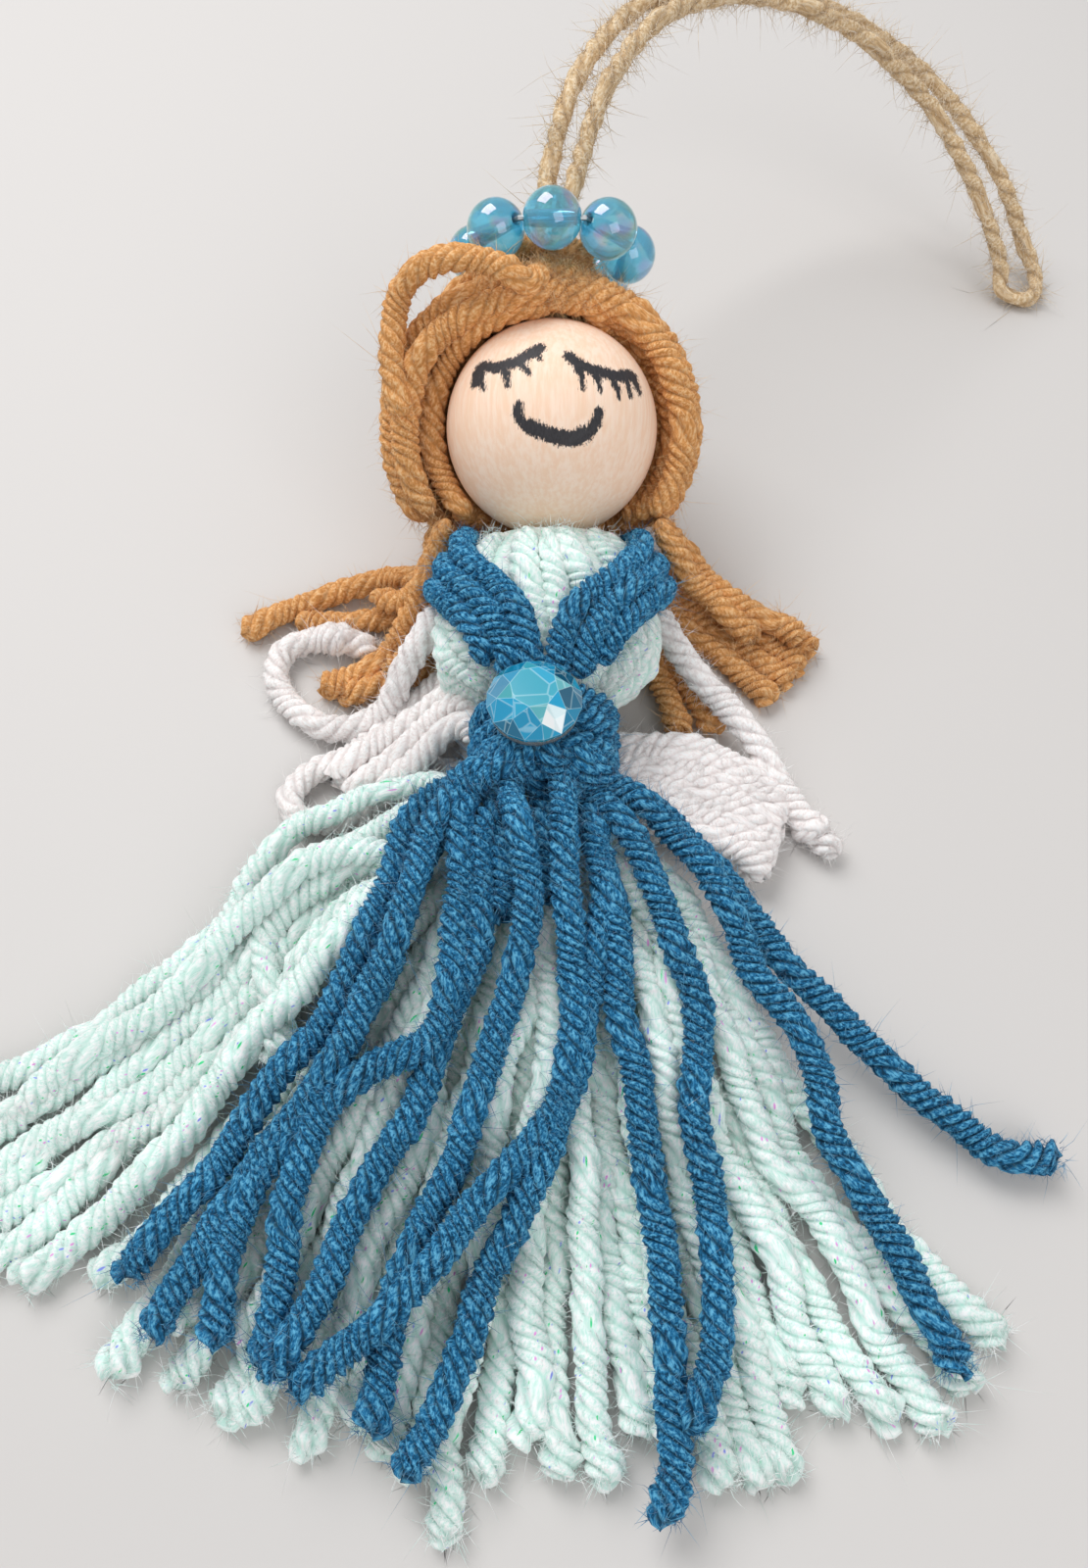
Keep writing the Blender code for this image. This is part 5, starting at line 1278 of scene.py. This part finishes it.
WING_YARN_DIAMETER = 0.0034
WING_RIGHT_LOOPS = 8
LOW, HIGH = 0.0021, 0.0054
WING_LEFT_ROUTES = (
    # routes of the loops, laid slantwise, mm
    ((-7.8, 2.0, 4.6), (-11.8, 9.4, 5.6), (-13.8, 15.4, 5.4), (-15.6, 16.8, 4.6),
     (-18.4, 14.0, 3.4), (-22.2, 10.0, 2.8), (-28.0, 6.0, 2.2), (-33.6, 3.2, 2.1),
     (-35.9, -0.7, 2.1), (-33.6, -4.4, 2.1), (-28.6, -4.2, 2.1), (-22.8, -0.8, 2.2),
     (-15.6, 2.4, 2.4), (-8.0, -1.2, 2.4)),
    ((-8.0, 3.2, 7.4), (-11.6, 10.0, 8.4), (-14.0, 13.0, 7.6), (-17.4, 10.8, 6.4),
     (-22.0, 7.0, 5.4), (-26.8, 3.8, 4.8), (-28.8, 2.4, 3.6), (-26.4, 3.2, 2.4), (-20.0, 5.0, 2.4),
     (-8.0, 1.4, 3.0)),
    ((-8.2, 4.0, 9.8), (-10.6, 8.6, 10.6), (-13.2, 9.2, 9.6), (-17.0, 6.6, 7.8), (-21.4, 3.4, 6.0),
     (-25.0, 0.8, 4.8), (-26.6, -0.4, 3.6), (-24.4, 0.6, 2.4), (-18.0, 3.0, 2.4), (-8.0, 0.2, 3.0)),
    ((-8.2, 2.4, 11.2), (-10.4, 5.2, 11.6), (-13.0, 5.2, 10.2), (-16.6, 2.6, 8.0),
     (-20.4, 0.0, 6.0), (-22.0, -1.2, 4.6), (-20.0, -0.6, 3.0), (-8.0, -0.6, 3.0)),
)
KNOT_RINGS = (-0.0048, -0.0016, 0.0016, 0.0048)
KNOT_HALF_SIZES = (0.0074, 0.0049, 0.0016)
PILLOW_COLUMNS = 36
PILLOW_ROWS = 14
PILLOW_SQUARENESS = 0.45

# the yarn's own colour, then its painted highlight and its painted shade
WHITE_YARN = yarn_material(
    "white_yarn", "#F6F0EE", "#FFFFFF", "#CDBEBC", painted_shade_share=0.45, painted_highlight_share=0.8, bump=0.35,
    sheen=0.1, scatter=0.3)
WHITE_FUZZ = fuzz_material("white_fibre", "#FFFFFF", "#EDE5E3")


def wing_right_line(k):
    """A loop of the right wing, on edge: the upper run is seen, the lower one lies under it."""
    flat = np.array([
        (7.9, 5.4 - 1.05 * k), (20.0, 5.0 - 1.75 * k), (27.6 - 0.25 * k, 1.9 - 1.75 * k),
        (31.6 - 0.55 * k, -1.4 - 1.5 * k)]) / 1000
    upper = np.column_stack([flat, (HIGH + 0.0012, HIGH + 0.0006, HIGH, HIGH - 0.0006)])
    bight = [*(flat[-1] + [0.0012, -0.0006]), (LOW + HIGH) / 2]
    lower = np.column_stack([flat[::-1], (LOW, LOW, LOW, LOW)])
    return smooth_line(np.vstack([upper, bight, lower]))


def pillow_form(half_sizes, centre):
    """A superellipsoid: powers of cosine and sine below 1 square it off; closed by small lids."""
    reach = math.pi / 2 - 0.06
    polar = np.linspace(-reach, reach, PILLOW_ROWS)[:, None]
    turn = np.linspace(0, FULL_TURN, PILLOW_COLUMNS, endpoint=False)[None]

    def power(value):
        return np.sign(value) * np.abs(value) ** PILLOW_SQUARENESS

    girth = power(np.cos(polar))
    rings = np.stack([
        girth * power(np.cos(turn)), girth * power(np.sin(turn)), power(np.sin(polar)) + 0 * turn,
    ], -1) * np.asarray(half_sizes) + np.asarray(centre)
    faces = ring_faces(PILLOW_ROWS, PILLOW_COLUMNS)
    uv = np.stack([faces % PILLOW_COLUMNS / 3.0, faces // PILLOW_COLUMNS * 1.0], -1)
    return rings.reshape(-1, 3), faces, uv


wing_fuzz = []
for node, lines in (
    ("wing_right", [wing_right_line(k) for k in range(WING_RIGHT_LOOPS)]),
    ("wing_left", [smooth_line(np.array(route) / 1000) for route in WING_LEFT_ROUTES]),
):
    forms = []
    for k, line in enumerate(lines):
        line = wandering(line, UP, 0.0003, 790 + k + len(node))
        line = grounded(line, WING_YARN_DIAMETER / 2 + TABLE)
        size = WING_YARN_DIAMETER * (1.12 + 0.05 * math.sin(k * 2.3))
        forms.append(yarn_form(line, size, UP, phase=k * 1.4, pitch=0.0078))
        wing_fuzz += nap_forms(line, WING_YARN_DIAMETER / 2, UP, 800 + k + len(wing_fuzz))
    stacked_piece("bow_" + node, forms, WHITE_YARN, "doll", "white_yarn", node)

turn = np.linspace(0, FULL_TURN, 90)[:-3]
knot_forms = []
for k, across in enumerate(KNOT_RINGS):
    ring = np.stack([
        across + 0.0006 * math.sin(k * 2.0) * np.cos(turn), 0.0036 * np.cos(turn),
        KNOT_THICKNESS / 2 + 0.00055 * np.sin(turn)], 1)
    knot_forms.append(yarn_form(ring, 0.0022, UP + ACROSS * 0.4, phase=k, pitch=0.006))
knot_forms.append(pillow_form(KNOT_HALF_SIZES, (0, 0, KNOT_THICKNESS / 2)))
stacked_piece("bow_centre", knot_forms, WHITE_YARN, "doll", "white_yarn", "bow_knot")
stacked_piece("wing_fuzz", wing_fuzz, WHITE_FUZZ, "doll", "white_yarn")

# ---------------------------------------------------------------- Arms
# One white strand each side, knotted near its end for a hand. The right one reaches down beside
# the skirt and the left one curls up.

ARM_LENGTH = 0.0400
ARM_YARN_DIAMETER = 0.0044
ARMS = {
    # station and angle on the torso, then the route in shares of the length and root height
    "arm_right": (0.44, -13, (
        (0.0, 0.0, 1.0), (0.1, -0.14, 0.76), (0.25, -0.33, 0.53), (0.38, -0.55, 0.27),
        (0.5, -0.71, 0.0), (0.56, -0.79, 0.0),
    )),
    "arm_left": (0.46, 188, (
        (0.0, 0.0, 1.0), (-0.07, -0.1, 0.67), (-0.17, -0.23, 0.17), (-0.34, -0.27, 0.0),
        (-0.5, -0.2, 0.0), (-0.59, -0.06, 0.0), (-0.56, 0.07, 0.0), (-0.43, 0.125, 0.0),
        (-0.29, 0.1, 0.0), (-0.22, 0.055, 0.0),
    )),
}
ARM_SWELL = (
    (0.0, 0.92), (0.08, 0.95), (0.78, 0.92), (0.83, 0.95), (0.87, 1.16), (0.905, 1.16),
    (0.93, 0.92), (0.955, 1.0), (0.98, 0.95), (1.0, 0.72))
HAND_SHARE = 0.888
HAND_RADIUS = 0.00165
HAND_YARN_DIAMETER = 0.0023

for node, (station, degrees, shares) in ARMS.items():
    half = ARM_YARN_DIAMETER / 2
    angle = math.radians(degrees)
    root = chest_point(station, angle, GAP + half)[0]
    above = chest_point(station - 0.11, angle, GAP + half - 0.0006)[0]
    line = smooth_line([above, *laid_route(root, ARM_LENGTH, TABLE + half, shares)])
    line = wandering(line, UP, 0.0003, 850, quiet=0.010)
    gone = line_length(line)
    s = gone / gone[-1]
    line = grounded(line, TABLE + half * np.interp(s, *zip(*ARM_SWELL)))
    hand, beyond = taken_at(line, s, [HAND_SHARE, HAND_SHARE + 0.03])
    along = unit(beyond - hand)
    across = unit(np.cross(UP, along))
    turn = np.linspace(0, FULL_TURN, 60)[:-2, None]
    knot = hand + HAND_RADIUS * (across * np.cos(turn) + UP * np.sin(turn))
    knot = knot + along * 0.0011 * np.sin(turn)
    stacked_piece(node + "_strand", [
        yarn_form(line, ARM_YARN_DIAMETER, UP, swell=ARM_SWELL, pitch=0.0086, open_tip=1.0),
        yarn_form(knot, HAND_YARN_DIAMETER, along, pitch=0.0070),
    ], WHITE_YARN, node, "white_yarn", node)
    stacked_piece(node + "_fuzz", [
        *nap_forms(line, half, UP, 860), *nap_forms(knot, 0.0011, along, 870),
        fibre_forms(line[-9:], ARM_YARN_DIAMETER / 2.4, UP, 30000, 0.0014, 880),
    ], WHITE_FUZZ, node, "white_yarn")

# ---------------------------------------------------------------- Pale skirt
# The torso's mint strands go on below the winding in eleven locks of two to four, fanned out on
# the table. Their cut ends are thick and frayed.

WRAP_PITCH = WRAP_YARN_DIAMETER + 0.0005
WRAP_REAR = WAIST_FRONT - GAP - WRAP_TURNS * WRAP_PITCH - WRAP_YARN_DIAMETER
SKIRT_TOP = WRAP_REAR - GAP
SKIRT_LENGTH = 0.0800
SKIRT_ROOT_RADIUS = 0.0093
MINT_DIAMETER = 0.0035
STATIONS = np.array((0.0, 0.02, 0.13, 0.27, 0.42, 0.58, 0.74, 0.88, 1.0))
STRAND_SWELL = [(s, 0.70 + 0.30 * float(eased(s / 0.4))) for s in np.linspace(0, 1, 21)]
LOCK_ROW_HEIGHTS = (-0.42, -0.26, -0.08)
LOCKS = (
    # row at the waist, column share, bow, then (angle, reach) of each strand
    (1, -0.78, -34, ((-56, 1.02), (-60.5, 1.06))),
    (2, -0.64, -16, ((-47, 1.01), (-51, 1.05))),
    (0, -0.45, -12, ((-43, 0.93), (-37.5, 1.0), (-34.5, 0.9))),
    (1, -0.23, -8, ((-31.9, 0.96), (-29.4, 0.86), (-26.8, 0.96))),
    (2, -0.21, -5, ((-24.6, 0.94), (-22.4, 0.88), (-20.0, 0.95))),
    (0, 0.0, -3, ((-17.2, 0.9), (-13.8, 0.92), (-10.8, 0.94))),
    (2, 0.21, -1, ((-7.6, 1.0), (-4.9, 0.93), (-1.8, 0.88))),
    (1, 0.23, 1, ((1.2, 0.92), (4.9, 0.93), (8.2, 0.88))),
    (0, 0.45, 3, ((11.2, 0.9), (14.0, 0.96), (16.8, 0.97))),
    (2, 0.64, 4, ((19.6, 0.98), (22.6, 0.9), (25.6, 0.94))),
    (1, 0.74, 6, ((28.8, 0.98), (32.0, 1.02), (35.2, 1.0), (39.6, 0.99))),
)
OUTER_ROUTES = {
    # strands of the two leftmost locks, laid out one by one, mm
    0: (
        ((-8.8, -4.6, 10.2), (-15.2, -1.4, 9.0), (-20.6, -2.3, 7.7), (-27.2, -4.9, 6.3),
         (-33.0, -7.4, 5.0), (-37.6, -12.0, 4.1), (-44.1, -22.5, 2.9), (-52.9, -32.2, 2.1),
         (-61.7, -37.6, 2.1), (-70.4, -41.0, 2.1), (-76.6, -42.0, 2.1)),
        ((-9.0, -5.4, 12.0), (-17.7, -5.9, 8.8), (-27.9, -12.9, 6.0), (-36.8, -22.9, 3.8),
         (-45.5, -31.0, 2.4), (-54.2, -38.5, 2.1), (-66.2, -44.7, 2.1), (-73.8, -47.4, 2.1)),
    ),
    1: (
        ((-9.0, -5.6, 9.0), (-19.0, -9.8, 7.0), (-30.0, -20.6, 5.0), (-38.6, -33.0, 3.0),
         (-48.9, -41.2, 2.1), (-58.4, -47.5, 2.1), (-69.0, -55.4, 2.1)),
        ((-8.8, -5.8, 7.4), (-18.4, -13.8, 6.0), (-28.6, -27.0, 4.2), (-41.6, -41.3, 2.3),
         (-51.2, -48.6, 2.1), (-63.4, -57.0, 2.1), (-66.2, -59.2, 2.1)),
        ((-8.6, -6.0, 13.0), (-18.6, -8.2, 9.4), (-28.2, -12.9, 7.4), (-33.4, -18.2, 6.6),
         (-35.2, -23.6, 6.2), (-35.0, -28.6, 6.0), (-33.2, -33.6, 5.8), (-32.7, -39.6, 5.4)),
    ),
}


def fan_points(angle, bow, s, length):
    """Places in the fan: straight out of the waist, bowed, then at the angle (0 at the feet)."""
    bowed = bow * (1 - s) ** 2 * eased(s / 0.3)
    turn = np.radians(angle * eased(s / 0.1) + bowed)
    return np.stack([s * length * np.sin(turn), SKIRT_TOP - s * length * np.cos(turn), 0 * s], 1)


def mint_line(row, column, bow, angle, reach, side):
    """A strand of a lock: gathered in the winding, side by side at the hem, sunk to the table."""
    s = STATIONS
    far = s * reach
    points = fan_points(angle, bow, s, SKIRT_LENGTH * reach)
    points[:, 0] += side * 0.00075 * (1 - s) + SKIRT_ROOT_RADIUS * column * (1 - eased(s / 0.7))
    lift = 0.0013 + (0.0030 - 0.0013) * eased(far / 0.4)
    floor = MINT_DIAMETER / 2 + TABLE
    root_z = WAIST_HEIGHT + SKIRT_ROOT_RADIUS * LOCK_ROW_HEIGHTS[row]
    middle_z = root_z + (floor + lift / 2 - root_z) * np.minimum(far / 0.625, 1) ** 2
    raised = (-1 if row == 2 else 1) * (lift / 2 if side == 0 else -lift / 2)
    lying = eased((far - 0.70) / (0.92 - 0.70))
    points[:, 2] = (middle_z + raised) * (1 - lying) + floor * lying
    inside = [points[0] + [0, 0.0052, 0], points[0] + [0, 0.0020, 0]]
    return np.vstack([*inside, points[1:]])


mint_fuzz = [[], [], []]
for lock, (row, column, bow, strands) in enumerate(LOCKS):
    lines = [np.array(route) / 1000 for route in OUTER_ROUTES.get(lock, ())]
    lines += [mint_line(row, column, bow, *strand, k - 1) for k, strand in enumerate(strands)]
    forms = []
    for k, route in enumerate(lines):
        seed = 1000 + 10 * lock + k
        line = grounded(
            wandering(smooth_line(route), UP, 0.00065, seed), MINT_DIAMETER / 2 + TABLE)
        size = MINT_DIAMETER * (1.14 + 0.07 * math.sin(seed * 1.7))
        forms.append(yarn_form(
            line, size, UP, swell=STRAND_SWELL, phase=seed * 1.3, pitch=0.0080,
            tip=1.32 + 0.14 * math.sin(seed), open_tip=1.2))
        mint_fuzz[lock // 4] += [
            *nap_forms(line, size / 2, UP, seed, dense=0.8),
            fibre_forms(line[-12:], size / 1.8, UP, 24000, 0.0013, seed + 5, thickness=0.00005)]
    number = f"{lock + 1:02d}"
    stacked_piece(
        "pale_lock_" + number, forms, MINT_YARN, "doll", "mint_yarn", "skirt_lock_" + number)
for label, forms in zip(("left", "middle", "right"), mint_fuzz):
    stacked_piece("pale_skirt_fuzz_" + label, forms, MINT_FUZZ, "doll", "mint_yarn")

# ---------------------------------------------------------------- Blue skirt strands
# Twelve strands of the straps' blue yarn hang singly over the pale skirt from under the winding.
# Two short ones fill the skirt's top beneath them.

BLUE_DIAMETER = 0.0037
HEAP_REACHES = (0.0, 0.005, 0.010, 0.020, 0.030, 0.040, 0.050, 0.064, 0.076, 0.090)
HEAP_HEIGHTS = (
    0.0215, 0.0210, 0.0200, 0.0175, 0.0145, 0.0123, 0.0104, 0.0084, 0.0062, 0.0056)
BLUES = (
    # root (across, row: 1 over, 0 under), lifts over other strands as (share, mm), and the route
    # on the skirt, mm
    (-8.2, 0, (), ((-12.4, -7.2), (-16.7, -11.6), (-21.1, -23.4), (-25.9, -36.8), (-34.5, -47.7),
     (-41.9, -58.0), (-46.1, -64.0))),
    (-6.8, 1, ((0.25, 2.0), (0.55, 2.0), (0.72, 0)), ((-10.4, -7.4), (-14.0, -14.3),
     (-17.5, -27.0), (-21.9, -38.3), (-30.0, -49.0), (-36.2, -58.6), (-41.2, -67.9),
     (-41.8, -70.1))),
    (-7.4, 0, (), ((-11.2, -7.4), (-15.1, -16.2), (-18.7, -30.2), (-24.4, -41.9), (-31.4, -53.0),
     (-35.0, -63.6), (-35.2, -70.8))),
    (-5.2, 1, ((0.4, 0), (0.5, 1.6), (0.7, 1.0), (0.8, 0)), ((-9.4, -8.5), (-10.3, -14.0),
     (-10.1, -26.8), (-13.1, -38.4), (-23.0, -45.0), (-27.5, -53.1), (-28.9, -63.7),
     (-30.5, -72.9))),
    (-3.8, 0, ((0.8, 0), (1.0, 2.0)), ((-6.5, -8.4), (-7.8, -14.4), (-7.5, -27.0), (-11.9, -37.9),
     (-15.9, -48.6), (-21.3, -58.8), (-25.8, -68.5), (-29.4, -73.6))),
    (0.4, 1, ((0.55, 0), (0.72, 2.6), (0.9, 2.6), (1.0, 1.0)), ((1.6, -8.4), (2.4, -15.6),
     (3.1, -27.2), (3.4, -38.1), (0.0, -48.7), (-8.1, -58.4), (-15.8, -67.1), (-23.9, -73.2),
     (-26.6, -74.8))),
    (-1.8, 1, (), ((-3.6, -8.4), (-3.0, -15.5), (-2.2, -27.2), (-5.1, -38.1), (-8.7, -48.7),
     (-13.5, -58.9), (-16.0, -67.6), (-17.5, -75.9), (-17.8, -79.0))),
    (2.2, 0, (), ((5.0, -8.4), (6.0, -14.8), (6.6, -27.0), (4.5, -38.1), (1.1, -48.7),
     (-3.5, -58.9), (-7.2, -68.6), (-11.9, -77.7), (-14.4, -82.6))),
    (3.6, 0, (), ((5.2, -9.4), (6.9, -15.3), (8.0, -24.1), (8.8, -34.5), (10.9, -43.4),
     (11.8, -53.8), (12.5, -63.8), (13.8, -73.2), (13.5, -82.1), (12.0, -86.8))),
    (4.6, 1, ((0.9, 0), (1.0, 2.0)), ((6.6, -8.4), (9.6, -12.4), (13.1, -20.4), (16.2, -30.5),
     (18.0, -37.7), (17.5, -48.6), (18.5, -58.8), (18.4, -68.5), (16.2, -76.7), (15.0, -78.6))),
    (6.4, 1, (), ((9.0, -7.8), (13.4, -11.4), (20.9, -19.5), (25.0, -30.0), (30.3, -38.4),
     (32.7, -48.3), (37.8, -58.6), (42.2, -68.3), (44.0, -73.5))),
    (8.2, 0, ((0.2, -1.0), (0.45, -3.0), (0.7, -4.5), (1.0, -3.6)), ((11.2, -7.0), (15.2, -9.9),
     (23.0, -19.2), (31.0, -28.3), (38.6, -37.1), (46.9, -45.0), (54.6, -49.2), (61.2, -49.6))),
)
UNDERS = {
    # short strands that fill the skirt's top under the strands named by number
    4: (
        (-2.6, -1, (), ((-5.0, -8.4), (-5.3, -15.4), (-5.0, -21.0), (-5.2, -25.0))),
    ),
    5: (
        (-0.8, -1, (), ((-0.9, -8.4), (-0.3, -15.4), (0.3, -20.0), (0.5, -23.0))),
    ),
}
BLUE_SWELL = ((0, 0.9), (0.4, 1.0), (1.0, 1.0))


def blue_line(across, over, lifts, route):
    """A strand from inside the winding over its edge, then along its route on top of the heap.

    The heap's height falls with the distance from the waist, and faster to the sides near it."""
    radius = 0.0076 + 0.0012 * over
    across_squared = min((across / 1000) ** 2, 0.9 * radius**2)
    round_top = WAIST_HEIGHT + math.sqrt(radius**2 - across_squared)
    root = [(across * 0.0009, -0.0030, round_top - 0.0016), (across / 1000, -0.0058, round_top)]
    flat = np.array(route) / 1000
    reach = np.hypot(flat[:, 0], flat[:, 1] + 0.007)
    sloped = 1 - 0.25 * (flat[:, 0] / reach) ** 2 * np.clip(1 - reach / 0.05, 0, 1)
    height = np.interp(reach, HEAP_REACHES, HEAP_HEIGHTS) * sloped
    height += (over * 0.0026 - 0.0010) * np.clip(1.1 - reach / 0.040, 0, 1)
    height += np.interp(reach / reach[-1], *zip((0.0, 0.0), *lifts)) / 1000
    return np.vstack([root, np.column_stack([flat, np.maximum(height, TABLE + BLUE_DIAMETER / 2)])])


blue_fuzz = []
for k, strand in enumerate(BLUES):
    forms = []
    for values in (strand, *UNDERS.get(k, ())):
        seed = 1300 + 10 * k + 5 * len(forms)
        line = wandering(smooth_line(blue_line(*values)), UP, 0.00045, seed, lift=0.25)
        line = grounded(line, BLUE_DIAMETER / 2 + TABLE)
        forms.append(yarn_form(
            line, BLUE_DIAMETER * 1.04, UP, swell=BLUE_SWELL, phase=seed * 0.7, tip=1.18,
            open_tip=1.1, rough=0.045, **BLUE_SPIN))
        blue_fuzz += [
            *nap_forms(line, BLUE_DIAMETER / 2, UP, seed),
            fibre_forms(line[-12:], BLUE_DIAMETER / 1.8, UP, 24000, 0.0012, seed + 5)]
    number = f"{k + 1:02d}"
    stacked_piece(
        "blue_drape_" + number, forms, BLUE_YARN, "doll", "blue_yarn", "blue_strand_" + number)
stacked_piece("blue_skirt_fuzz", blue_fuzz, BLUE_FUZZ, "doll", "blue_yarn")

# ---------------------------------------------------------------- Table and light
# A plain pale table, one large soft light above the head and a weaker one toward the feet, at
# the right.

TABLE_REACH = 4.0
WORLD_LIGHT = 0.52

table_finish, tree, shader, _ = new_material("table_top")
fed(tree, shader, {"Base Color": colour("#CFCCCA"), "Roughness": 0.6})
corners = np.array([(-1, -1, 0), (1, -1, 0), (1, 1, 0), (-1, 1, 0)]) * TABLE_REACH
made_object(
    "table_top", corners, np.array([[0, 1, 2, 3]]), None, None, table_finish)

for name, place, size, power in (
    ("window", (-0.25, 0.35, 0.62), 0.45, 3.7), ("fill", (0.32, -0.50, 0.5), 0.5, 1.7),
):
    lamp_data = bpy.data.lights.new(name, "AREA")
    lamp_data.shape = "SQUARE"
    lamp_data.size = size
    lamp_data.energy = power
    lamp = bpy.data.objects.new(name, lamp_data)
    bpy.context.scene.collection.objects.link(lamp)
    lamp.location = place
    lamp.rotation_mode = "QUATERNION"
    lamp.rotation_quaternion = Vector(place).to_track_quat("Z", "Y")

world = bpy.data.worlds.new("studio")
world.use_nodes = True
tree = world.node_tree
fed(tree, tree.nodes["Background"], {0: (1.0, 1.0, 1.0, 1.0), 1: WORLD_LIGHT})
bpy.context.scene.world = world
bpy.context.scene.view_settings.view_transform = "Standard"
